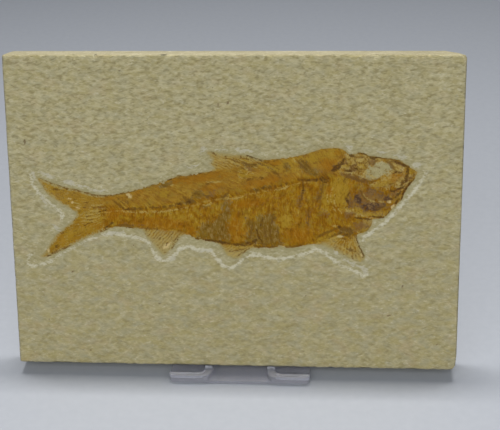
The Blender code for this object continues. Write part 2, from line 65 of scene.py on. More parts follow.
# What has broken off each corner, across and up.
CORNER_CHIPS = {(-1, 1): (0.5, 0.4), (1, 1): (0.9, 0.6), (1, -1): (0.7, 2.6), (-1, -1): (0.4, 0.4)}
REAR_CHIPS = {(-1, 1): (0.8, 0.6), (1, 1): (3.2, 1.6), (1, -1): (1.2, 2.2), (-1, -1): (0.6, 0.6)}

# ---- the fish's outline, clockwise from the tip of the tail's upper lobe ------------------------------
TAIL_TOP = [(-65.6, 12.4), (-62.6, 11.4), (-60.0, 10.4), (-57.4, 9.4), (-54.0, 8.8), (-50.0, 7.8),
            (-46.8, 6.8), (-43.5, 6.5)]
BACK = [(-40.0, 6.7), (-36.5, 7.4), (-32.5, 8.5), (-28.5, 9.6), (-25.0, 10.8), (-21.5, 12.1),
        (-18.4, 13.3), (-15.0, 13.6), (-11.5, 14.2), (-8.0, 15.0)]
DORSAL_FIN = [(-6.2, 15.9), (-7.8, 17.2), (-6.8, 18.6), (-8.3, 20.4), (-8.3, 21.6), (-5.5, 21.3),
              (-2.0, 20.9), (1.5, 20.7), (5.0, 20.4), (7.6, 19.5), (10.0, 18.9)]
DORSAL_ROOT = [(-5.0, 15.5), (0.0, 16.2), (5.0, 17.3), (10.0, 18.7)]
NAPE = [(13.0, 19.2), (17.0, 19.7), (21.0, 20.4), (25.0, 21.5), (28.8, 22.8), (32.7, 23.2),
        (35.5, 23.0), (37.2, 22.1), (38.4, 20.9)]
SKULL = [(40.0, 21.2), (42.3, 21.5), (44.5, 20.5), (48.0, 20.0), (51.5, 19.6), (54.4, 19.0),
         (57.0, 17.5), (59.3, 16.2), (60.6, 15.1)]
JAW = [(60.2, 13.8), (59.2, 12.1), (57.4, 9.9), (56.4, 8.0), (55.6, 5.9), (53.8, 3.8), (52.0, 1.7),
       (50.4, -0.1), (48.0, -0.9)]
THROAT = [(46.4, -1.3), (46.3, -3.0), (45.2, -4.6), (43.6, -5.8), (41.4, -6.6)]
PECTORAL_FIN = [(41.2, -8.4), (42.4, -11.0), (43.7, -13.6), (43.6, -15.0), (41.8, -15.6),
                (39.5, -14.9), (36.8, -13.6), (34.2, -12.3), (31.8, -11.0), (29.6, -10.3)]
PECTORAL_ROOT = [(40.2, -6.8), (37.0, -7.2), (34.4, -7.2), (30.8, -8.6)]
BELLY = [(27.6, -10.0), (25.2, -10.2), (23.0, -10.6), (19.5, -11.3), (16.0, -11.1), (12.5, -11.6),
         (9.0, -11.5), (7.0, -11.4)]
PELVIC_FIN = [(5.2, -12.1), (3.3, -13.3), (2.2, -14.8), (0.2, -15.1), (-2.1, -14.2), (-3.4, -12.8),
              (-4.3, -11.0), (-6.0, -9.6)]
PELVIC_ROOT = [(6.0, -10.2), (0.0, -10.3), (-4.0, -9.8)]
VENT = [(-9.5, -9.1), (-12.8, -8.5), (-15.0, -7.3)]
ANAL_FIN = [(-16.6, -7.3), (-18.6, -8.8), (-20.2, -11.2), (-21.9, -13.1), (-23.7, -14.2),
            (-25.1, -13.0), (-26.9, -10.9), (-29.0, -8.4), (-30.8, -5.5)]
ANAL_ROOT = [(-17.5, -6.5), (-24.0, -5.4), (-30.5, -5.0)]
TAIL_STEM = [(-34.0, -5.1), (-37.8, -4.7), (-41.2, -5.1)]
TAIL_FOOT = [(-44.3, -6.4), (-48.0, -7.8), (-52.0, -9.7), (-56.5, -12.1), (-60.8, -14.2),
             (-64.4, -15.6), (-66.0, -15.0)]
TAIL_FORK = [(-64.0, -13.3), (-62.3, -10.5), (-60.2, -7.5), (-57.1, -4.9), (-53.8, -1.9),
             (-53.0, 0.2), (-56.0, 2.2), (-59.6, 4.4), (-62.4, 6.8), (-64.3, 9.6)]
TAIL_ROOT = [(-42.8, -4.6), (-44.6, -1.6), (-45.0, 1.2), (-44.4, 4.0), (-43.0, 5.9)]
FISH = (TAIL_TOP + BACK + DORSAL_FIN + NAPE + SKULL + JAW + THROAT + PECTORAL_FIN + BELLY + PELVIC_FIN
        + VENT + ANAL_FIN + TAIL_STEM + TAIL_FOOT + TAIL_FORK)
BODY = (BACK + DORSAL_ROOT + NAPE + SKULL + JAW + THROAT + PECTORAL_ROOT + BELLY + PELVIC_ROOT + VENT
        + ANAL_ROOT + TAIL_STEM + TAIL_ROOT)

# ---- the hollow that was scraped round the fish -------------------------------------------------------
HOLLOW_ABOVE = [(-67.2, 14.4), (-63.5, 14.0), (-60.0, 12.9), (-55.0, 10.9), (-50.0, 9.9), (-45.0, 8.8),
                (-40.0, 8.5), (-35.0, 9.3), (-30.0, 10.9), (-25.0, 12.6), (-20.0, 14.6),
                (-15.0, 16.2), (-11.8, 17.6), (-10.8, 20.6), (-9.2, 23.2), (-5.0, 23.0), (0.0, 22.6),
                (4.0, 22.9), (8.0, 21.9), (13.0, 21.3), (18.0, 22.0), (23.0, 22.9), (28.0, 24.4),
                (33.0, 25.2), (38.0, 24.0), (43.0, 23.0), (49.0, 22.0), (55.0, 20.9), (60.0, 18.4),
                (62.8, 16.2)]
HOLLOW_HEAD = [(62.8, 14.2), (61.6, 11.7), (60.1, 9.5), (58.0, 6.9), (55.9, 4.6), (54.2, 2.5),
               (52.3, 0.2), (50.2, -2.1), (47.8, -3.9), (45.4, -5.7), (43.1, -7.4)]
HOLLOW_FIN_SIDE = [(43.9, -9.5), (44.5, -12.5), (44.6, -15.5), (44.8, -18.6)]
HOLLOW_FIN_FOOT = [(44.2, -20.3), (42.6, -20.4), (41.0, -19.3), (38.6, -18.0), (36.2, -16.9),
                   (33.8, -15.3), (31.6, -13.8), (29.7, -12.5), (28.2, -11.5)]
HOLLOW_BELOW = [(26.6, -11.9), (24.5, -12.9), (21.0, -13.6), (18.0, -14.5), (15.0, -15.0),
                (12.0, -14.5), (8.8, -13.9), (6.0, -13.9), (3.8, -14.8), (2.0, -16.2), (0.4, -17.8),
                (-1.2, -18.4), (-2.9, -18.0), (-4.4, -16.6), (-6.0, -14.7), (-7.6, -12.8),
                (-9.7, -12.2), (-12.2, -12.2), (-14.6, -11.1), (-16.6, -11.4), (-18.4, -12.2),
                (-20.2, -14.2), (-22.2, -15.8), (-24.2, -16.1), (-26.0, -14.9), (-27.2, -12.9),
                (-28.6, -10.3), (-30.4, -8.9), (-33.0, -7.9), (-36.5, -7.5), (-40.0, -7.0),
                (-43.2, -7.0)]
HOLLOW_TAIL_FOOT = [(-46.6, -8.4), (-49.6, -9.4), (-53.0, -11.1), (-57.0, -13.2), (-61.0, -15.8),
                    (-64.5, -17.5), (-68.4, -18.5), (-70.2, -17.6), (-70.0, -16.0)]
HOLLOW_FORK_FOOT = [(-68.0, -13.0), (-66.0, -10.4), (-63.4, -8.6), (-60.6, -5.6), (-58.6, -3.6)]
HOLLOW_FORK_TOP = [(-57.6, -0.9), (-59.2, 1.4), (-61.6, 3.5), (-64.2, 6.0), (-66.2, 8.4),
                   (-67.3, 10.6), (-67.8, 13.2)]
HOLLOW = (HOLLOW_ABOVE + HOLLOW_HEAD + HOLLOW_FIN_SIDE + HOLLOW_FIN_FOOT + HOLLOW_BELOW
          + HOLLOW_TAIL_FOOT + HOLLOW_FORK_FOOT + HOLLOW_FORK_TOP)
# How strongly the scribed line shows along each stretch.
SCRIBED = [(HOLLOW_ABOVE, 0.12), (HOLLOW_HEAD, 1.0), (HOLLOW_FIN_SIDE, 0.3), (HOLLOW_FIN_FOOT, 0.9),
           (HOLLOW_BELOW, 0.95), (HOLLOW_TAIL_FOOT, 0.75), (HOLLOW_FORK_FOOT, 0.1),
           (HOLLOW_FORK_TOP, 0.9)]

BACKBONE = [(-43.0, 0.8), (-37.0, 1.2), (-27.0, 1.3), (-20.0, 1.9), (-13.5, 3.2), (-7.0, 5.2),
            (0.0, 6.2), (8.0, 7.9), (16.0, 9.7), (24.0, 11.6), (31.5, 12.3)]

# ---- marks on the fish: each is (points, width) or (centre, radii, turn in degrees) -------------------
# Nearly black bone and cracks.
INK_LINES = [
    ([(57.4, 17.0), (57.1, 15.8), (57.3, 14.7), (56.7, 13.5), (56.8, 12.6), (55.9, 11.8)], 1.05),
    ([(56.4, 12.4), (55.6, 11.6), (55.2, 10.8)], 1.2),
    ([(59.6, 12.6), (58.7, 12.1), (57.8, 10.7), (56.7, 9.4), (55.9, 7.8), (55.4, 5.6)], 0.7),
    ([(56.4, 10.4), (54.7, 9.5), (52.8, 8.8), (51.7, 8.8)], 0.6),
    ([(55.2, 8.6), (54.0, 7.3), (52.5, 6.1), (51.4, 5.9)], 0.6),
    ([(54.6, 6.0), (53.4, 4.4)], 0.6),
    ([(40.9, 21.3), (42.3, 21.1), (44.2, 20.9), (45.2, 20.1), (46.8, 19.8), (48.2, 19.8)], 0.5),
    ([(45.2, 19.9), (46.3, 19.5)], 1.2),
    ([(38.5, 20.5), (39.6, 20.3)], 0.75),
    ([(53.2, 18.4), (54.9, 17.9), (56.1, 17.2), (57.2, 16.9)], 0.85),
    ([(52.4, 14.6), (53.3, 14.9), (54.9, 14.9)], 0.4),
    ([(32.8, 15.6), (34.0, 16.3), (35.1, 17.2)], 1.7),
    ([(35.0, 17.0), (36.0, 18.2), (36.9, 19.4)], 1.0),
    ([(36.8, 15.7), (38.0, 15.4), (39.2, 15.2)], 0.45),
    ([(39.6, 16.6), (40.4, 16.3), (41.3, 15.4), (42.4, 15.0)], 0.45),
    ([(38.5, 8.2), (37.9, 7.2), (37.2, 6.3), (37.9, 5.0), (38.0, 4.0), (37.3, 3.2)], 0.6),
    ([(40.2, -0.3), (42.3, -0.5), (44.0, -0.9), (45.3, -1.0)], 0.5),
    ([(46.1, 0.0), (48.5, -0.2), (50.4, -0.5)], 0.7),
    ([(50.4, 0.3), (51.2, 1.0), (51.9, 2.0)], 0.45),
    ([(35.0, -3.6), (35.6, -3.7)], 0.75),
    ([(35.3, -5.6), (35.9, -5.6)], 0.7),
    ([(41.1, -7.6), (41.7, -9.6), (42.3, -11.0), (42.8, -12.2), (43.6, -13.6)], 0.42),
    ([(42.2, -10.6), (42.7, -11.9)], 0.5),
    ([(0.6, -10.1), (2.6, -10.1), (4.7, -9.9), (6.4, -9.3), (7.5, -8.5)], 1.2),
    ([(-10.4, -8.7), (-8.2, -8.8), (-6.2, -9.0), (-3.6, -9.5), (0.0, -9.9)], 0.8),
    ([(-12.8, -8.3), (-11.4, -8.5)], 0.5),
    ([(7.8, -4.6), (8.2, -6.4), (8.9, -8.2), (9.8, -9.4)], 0.6),
    ([(9.8, -0.8), (9.5, -2.2), (9.0, -3.6)], 0.4),
    ([(4.7, 20.2), (6.2, 19.8), (7.8, 19.2), (9.6, 18.6)], 0.6),
    ([(22.8, 12.2), (23.6, 12.3)], 0.6), ([(24.6, 12.1), (25.6, 12.4)], 0.6),
    ([(26.8, 12.4), (27.8, 12.2)], 0.6),
    ([(28.8, 12.8), (29.6, 12.0)], 0.55), ([(30.2, 11.6), (30.9, 11.4)], 0.45),
    ([(30.4, 12.6), (30.8, 12.4)], 0.4),
    ([(23.2, 11.6), (23.2, 9.6), (23.1, 8.2)], 0.4),
    ([(29.4, 13.4), (30.2, 12.6)], 0.5),
    ([(-43.2, -4.8), (-42.0, -4.0), (-40.6, -2.9)], 0.6),
    ([(-63.4, -14.9), (-62.6, -14.8)], 0.9),
    ([(-44.9, 0.8), (-43.6, 1.2), (-42.2, 1.4)], 0.4),
    ([(-15.2, 4.7), (-14.2, 4.3)], 0.7),
    ([(-18.2, 3.7), (-17.6, 3.8)], 0.5),
    ([(-36.2, 1.7), (-34.6, 1.8)], 0.4),
    ([(-21.8, 11.9), (-20.3, 12.2)], 0.6),
    ([(-18.9, -8.6), (-18.1, -8.9), (-18.9, -9.6)], 0.5),
    ([(-22.8, -9.8), (-22.3, -9.6), (-22.8, -10.7)], 0.4),
    ([(-36.2, -4.8), (-33.6, -4.8)], 0.4),
]
# Softer brown bone, cracks and edges.
BROWN_LINES = [
    ([(21.6, 12.2), (24.0, 12.2), (26.4, 12.3), (28.4, 12.4), (31.4, 12.0)], 1.0),
    ([(29.2, 13.6), (29.8, 11.8), (29.4, 10.6)], 0.8),
    ([(-16.2, 5.9), (-14.8, 4.8), (-12.6, 4.4)], 1.6),
    ([(-19.0, 3.7), (-17.2, 3.9)], 1.0),
    ([(-36.4, 1.7), (-34.4, 1.8), (-31.8, 1.8), (-30.2, 2.0)], 0.8),
    ([(58.2, 11.6), (57.0, 9.6), (56.0, 7.8)], 0.9),
    ([(46.6, 20.0), (48.2, 19.8), (50.1, 19.5), (51.8, 19.4), (53.7, 19.0), (55.4, 18.6)], 0.7),
    ([(51.2, 18.4), (52.2, 16.8), (53.1, 15.7)], 1.0),
    ([(51.2, 18.5), (53.2, 18.5)], 0.6),
    ([(36.6, 14.3), (37.6, 13.8), (38.4, 14.1)], 0.8), ([(38.6, 13.2), (40.2, 12.9), (41.0, 12.2)], 0.9),
    ([(41.0, 12.8), (42.2, 12.0), (43.6, 12.3)], 0.9), ([(43.4, 11.6), (44.6, 11.9)], 0.8),
    ([(39.8, 13.9), (40.8, 13.5)], 0.5), ([(37.6, 13.2), (38.2, 12.8)], 0.5),
    ([(40.0, 20.2), (40.2, 18.4), (41.6, 18.0), (43.4, 18.1), (44.4, 18.9), (44.0, 20.2)], 0.4),
    ([(40.6, 17.4), (41.4, 16.2), (43.0, 15.8), (43.9, 16.6)], 0.4),
    ([(37.4, 17.6), (38.6, 16.8), (39.8, 17.2)], 0.5), ([(39.0, 19.9), (41.0, 19.9), (43.0, 19.9)], 0.5),
    ([(36.2, 15.6), (37.4, 15.3), (38.6, 15.5)], 0.7), ([(39.0, 16.4), (39.8, 15.8)], 0.8),
    ([(40.2, 17.6), (40.4, 16.4), (41.2, 15.4)], 0.4), ([(43.2, 17.8), (43.4, 16.4)], 0.4),
    ([(37.8, 19.0), (38.6, 19.6)], 0.5), ([(44.4, 19.4), (44.6, 18.2), (45.0, 17.4)], 0.5),
    ([(52.6, 15.2), (53.8, 15.2), (54.8, 15.0)], 0.45), ([(50.2, 18.6), (51.6, 17.4)], 0.9),
    ([(56.4, 14.0), (57.6, 13.6)], 0.5), ([(44.2, 12.0), (45.8, 12.0), (47.6, 12.3)], 0.5),
    ([(46.6, 16.8), (48.4, 16.4)], 0.35), ([(36.4, 11.6), (36.8, 13.0)], 0.5),
    ([(46.0, 17.6), (46.8, 18.6), (47.4, 18.8)], 0.7),
    ([(46.2, 12.4), (47.8, 12.7), (48.5, 13.2)], 0.4),
    ([(58.6, 15.4), (59.2, 14.4), (59.1, 13.4)], 0.5),
    ([(57.6, 13.2), (58.6, 13.0), (59.4, 12.6)], 0.6),
    ([(51.0, 10.8), (52.8, 11.4), (54.4, 12.6)], 0.35),
    ([(49.4, 10.2), (50.4, 10.0)], 0.4),
    ([(42.0, 8.6), (43.2, 6.6), (44.2, 5.4)], 0.5),
    ([(47.0, 2.4), (48.6, 3.0), (49.8, 3.3)], 0.7),
    ([(39.0, 0.6), (40.4, 0.9)], 0.5),
    ([(28.0, -7.2), (30.0, -6.1), (31.8, -5.3), (34.7, -3.9)], 0.9),
    ([(31.8, -7.4), (33.2, -6.6), (34.4, -6.1)], 0.75),
    ([(35.0, -3.6), (36.6, -4.2), (38.4, -4.6), (39.3, -5.6)], 1.5),
    ([(36.6, -6.4), (38.6, -6.2)], 0.9),
    ([(40.0, -5.8), (40.8, -7.4), (41.5, -9.2), (42.2, -11.0), (42.9, -12.8), (43.1, -14.0)], 0.6),
    ([(37.6, -11.0), (39.2, -11.8), (40.6, -12.0), (41.8, -13.0)], 0.4),
    ([(38.2, -6.6), (39.4, -7.6)], 1.0), ([(36.4, -7.6), (37.4, -8.6)], 0.4),
    ([(-2.6, 19.5), (-0.4, 18.9), (1.8, 18.2), (4.4, 17.2), (6.6, 16.5)], 0.36),
    ([(0.6, 19.2), (2.8, 18.4), (5.3, 17.6), (7.6, 17.0)], 0.36),
    ([(-1.6, 17.8), (1.2, 17.0), (3.0, 16.2), (4.0, 15.6)], 0.34),
    ([(-2.6, 16.8), (-0.4, 16.5)], 0.34),
    ([(2.6, 19.6), (4.6, 19.0), (6.6, 18.3), (8.4, 17.7), (10.2, 17.0)], 0.36),
    ([(-8.2, 21.4), (-6.6, 21.2), (-5.3, 20.4)], 0.4),
    ([(9.9, 17.4), (12.0, 16.4), (14.0, 15.0)], 0.4),
    ([(10.2, 18.2), (12.6, 17.4), (15.2, 15.6)], 0.35),
    ([(12.6, 15.2), (13.8, 14.6), (15.2, 13.9)], 0.6),
    ([(5.0, 12.2), (6.6, 12.4)], 0.9),
    ([(9.0, 12.8), (10.2, 12.6)], 0.9),
    ([(7.8, 9.3), (7.9, 7.9)], 0.5), ([(8.9, 9.9), (8.9, 8.9)], 0.4), ([(10.2, 9.8), (10.3, 8.8)], 0.45),
    ([(11.1, 9.6), (11.2, 8.6)], 0.4), ([(12.5, 10.1), (12.7, 9.2)], 0.5),
    ([(14.0, 10.4), (14.2, 9.6)], 0.5),
    ([(15.8, 10.3), (16.2, 9.7)], 0.5), ([(17.6, 11.2), (18.0, 10.7)], 0.5),
    ([(6.2, 9.0), (6.3, 8.2)], 0.35),
    ([(23.2, 8.6), (22.6, 6.2), (21.9, 3.6)], 0.65),
    ([(29.6, 10.4), (28.9, 7.6), (27.9, 5.2)], 1.0),
    ([(29.0, 4.4), (28.4, 2.2)], 0.5),
    ([(25.0, 2.6), (25.0, -0.6), (24.7, -3.4)], 0.6),
    ([(21.2, 18.4), (22.8, 17.0), (24.4, 15.6)], 0.8),
    ([(22.4, 18.9), (24.2, 17.6), (25.8, 15.8)], 0.7),
    ([(17.4, 16.6), (18.2, 15.8)], 0.6),
    ([(26.4, 14.4), (28.6, 13.8)], 0.6),
    ([(13.4, 0.4), (13.2, -1.2), (12.6, -2.6)], 0.7),
    ([(6.4, -3.4), (5.8, -6.0), (5.6, -8.4)], 0.6),
    ([(12.2, -4.6), (12.4, -7.6), (13.0, -10.0)], 0.6),
    ([(14.8, -4.8), (15.4, -7.4), (15.8, -9.8)], 0.5),
    ([(10.4, -3.4), (10.6, -6.0), (11.2, -9.0)], 0.5),
    ([(7.0, -10.6), (10.6, -10.9), (12.8, -11.0), (15.7, -11.1)], 1.0),
    ([(17.4, -10.8), (18.6, -10.8), (22.6, -10.3)], 0.9),
    ([(8.2, -9.7), (10.2, -9.9), (12.6, -10.3)], 0.5),
    ([(3.4, -11.6), (0.8, -12.0), (-1.4, -12.6)], 0.5),
    ([(5.2, -11.4), (3.2, -12.8), (1.6, -13.8)], 0.4),
    ([(-40.2, 4.8), (-38.8, 3.6), (-37.4, 2.5), (-36.2, 1.8)], 0.55),
    ([(-38.4, 5.2), (-37.0, 3.9), (-35.7, 2.7)], 0.3), ([(-37.2, 5.6), (-36.0, 4.4), (-34.9, 3.4)], 0.3),
    ([(-36.1, 5.0), (-34.8, 3.9)], 0.3),
    ([(-38.6, -3.9), (-36.4, -3.7), (-33.8, -4.1)], 0.6),
    ([(-42.4, 6.3), (-39.6, 6.7), (-36.0, 7.5), (-32.6, 8.4)], 0.5),
    ([(-30.0, 9.2), (-27.6, 9.9), (-25.4, 10.6)], 0.4),
    ([(-24.6, 11.0), (-22.6, 11.9)], 0.6),
    ([(-18.2, 13.2), (-14.4, 13.6), (-10.4, 14.4)], 0.4),
    ([(-10.9, 14.2), (-10.0, 14.5)], 0.6),
    ([(-31.0, -4.8), (-28.4, -4.9), (-25.4, -5.0)], 0.6),
    ([(-64.4, 12.0), (-61.9, 11.0), (-59.0, 9.9), (-56.4, 9.0), (-53.4, 8.3), (-50.4, 7.6)], 0.5),
    ([(-50.2, 7.6), (-47.8, 6.8), (-45.0, 6.3), (-42.0, 6.3)], 0.6),
    ([(-61.1, 8.1), (-59.6, 8.4), (-58.0, 8.2)], 0.6),
    ([(-49.6, 3.9), (-48.5, 3.9)], 0.5),
    ([(-49.6, 0.1), (-48.0, 0.4), (-46.3, 0.7)], 0.15),
    ([(-49.4, -1.0), (-47.4, -0.6), (-45.1, -0.2)], 0.15),
    ([(-46.8, 2.2), (-45.0, 2.4), (-43.0, 2.6)], 0.2),
    ([(-50.2, -2.3), (-47.8, -1.9), (-45.0, -1.5)], 0.15),
    ([(-50.4, -4.0), (-49.0, -3.6), (-47.6, -2.9)], 0.3),
    ([(-58.2, -6.9), (-57.5, -6.7)], 0.5),
    ([(-62.4, -14.6), (-61.0, -13.9), (-59.4, -13.1), (-57.4, -12.1), (-55.2, -11.0)], 0.7),
    ([(-60.4, -11.8), (-59.6, -11.2)], 0.7),
    ([(-44.8, -6.2), (-43.4, -5.8), (-42.4, -5.4)], 0.5),
    ([(-27.6, 2.6), (-26.2, 2.4), (-24.6, 2.4)], 0.6), ([(-23.3, 2.8), (-22.4, 2.8)], 0.9),
    ([(-21.0, 3.1), (-20.0, 3.2)], 0.7), ([(-16.6, 6.4), (-15.6, 5.6)], 0.5),
    ([(-13.4, 6.4), (-12.4, 7.4), (-11.0, 7.0)], 0.8),
    ([(-9.4, 6.8), (-7.8, 6.2)], 0.8), ([(-28.8, 4.2), (-27.6, 3.4)], 0.4),
    ([(-20.2, -9.0), (-19.2, -8.2), (-18.2, -7.9)], 0.5),
    ([(-19.6, -10.4), (-20.6, -11.9), (-21.2, -12.6)], 0.6),
    ([(-23.8, 10.2), (-22.2, 9.6), (-20.6, 9.6)], 0.4),
    ([(-3.2, 6.0), (-2.4, 7.2), (-1.6, 7.8)], 0.7), ([(-10.0, 10.0), (-8.6, 10.6), (-6.8, 11.0)], 0.35),
]
# Dark violet films on the cheek.
VIOLET = [
    ((41.2, 5.7), (1.3, 1.6), 15), ((45.9, 4.0), (2.3, 0.9), 0), ((48.6, 3.9), (1.8, 0.7), 8),
    ((45.2, 2.9), (2.0, 1.1), 20), ((43.4, 3.7), (1.4, 0.9), 30), ((50.4, 6.2), (1.1, 0.8), 40),
    ((47.6, 2.7), (1.6, 0.6), 10),
]
VIOLET_FAINT = [
    ((45.6, 8.5), (2.6, 0.9), -6), ((49.0, 7.6), (2.2, 1.0), -24), ((38.4, 4.4), (0.7, 1.8), 0),
    ((33.6, 16.4), (2.2, 0.8), 48), ((35.6, 18.4), (1.6, 0.6), 52),
]
# Fainter lilac-brown films.
LILAC = [
    ((45.6, 5.6), (5.6, 3.4), -16), ((54.2, 18.1), (1.8, 0.4), -20), ((57.4, 12.4), (2.2, 0.5), 50),
    ((53.2, 7.6), (2.0, 1.4), 60), ((38.6, 13.4), (2.6, 0.8), -18), ((42.8, 12.0), (2.0, 0.7), -8),
    ((37.0, 18.4), (1.2, 1.0), 0), ((39.6, 16.2), (1.0, 0.8), 0), ((45.8, 18.2), (1.2, 0.8), 20),
    ((41.9, -3.0), (2.0, 1.1), 5), ((-6.0, 8.0), (2.4, 0.9), 20),
    ((42.6, -3.1), (2.4, 1.3), 8), ((30.2, 1.0), (1.3, 1.0), 0),
    ((-49.0, 3.0), (1.5, 1.4), 10), ((13.1, -1.2), (0.8, 1.8), 0), ((-30.8, -3.8), (0.8, 0.5), 0),
    ((38.6, 1.0), (1.4, 1.2), 20), ((38.6, 4.8), (0.9, 2.6), 0), ((-45.0, 2.2), (1.8, 0.6), 5),
    ((-36.0, -3.8), (3.0, 0.7), 0), ((5.4, 16.0), (2.2, 0.8), -25), ((28.0, 15.4), (1.8, 0.7), -30),
    ((-8.8, 6.4), (1.8, 1.2), -15), ((22.4, 5.8), (0.8, 2.8), -12), ((-2.2, 3.2), (1.5, 2.6), 0),
    ((37.6, -4.8), (2.4, 1.2), 0), ((44.8, 13.6), (0.8, 1.0), 0), ((28.6, 7.4), (1.0, 2.6), -15),
    ((-59.2, 6.4), (1.9, 0.9), -20), ((-23.4, -6.4), (2.6, 0.9), 0), ((25.0, -0.6), (0.8, 3.2), 0),
]
# Grey-olive places where the skin has gone and stained rock shows, as outlines.
WORN_AREAS = [
    [(-3.6, 4.6), (-1.0, 4.2), (-0.8, 1.2), (-1.8, -1.0), (-1.9, -4.0), (-1.4, -8.8), (-7.0, -8.9),
     (-12.2, -8.0), (-11.6, -4.8), (-10.0, -3.0), (-6.6, -2.2), (-4.6, -0.2), (-3.4, 1.2)],
    [(4.2, -0.8), (7.0, -1.4), (9.2, 0.4), (11.6, 0.4), (13.9, 1.4), (13.8, -2.4), (15.2, -5.0),
     (16.4, -10.8), (8.6, -10.6), (7.4, -9.2), (4.0, -9.2), (4.9, -5.0)],
]
WORN_SPOTS = [
    ((-11.9, 6.9), (1.8, 1.6), 10), ((-14.6, 4.8), (2.0, 0.9), 10), ((23.6, 16.9), (2.4, 1.5), -45),
    ((26.2, 14.8), (2.0, 1.1), -15), ((-22.2, 10.2), (2.4, 0.8), 15), ((37.4, -5.0), (2.0, 1.2), 0),
    ((-9.0, 3.0), (1.4, 0.6), 10), ((-2.8, 6.0), (1.6, 0.9), 0), ((9.4, 9.2), (3.0, 0.6), 15),
    ((5.4, 17.0), (2.6, 0.7), -18), ((17.8, 16.8), (1.0, 1.3), 0), ((35.6, -5.6), (1.0, 0.8), 0),
]
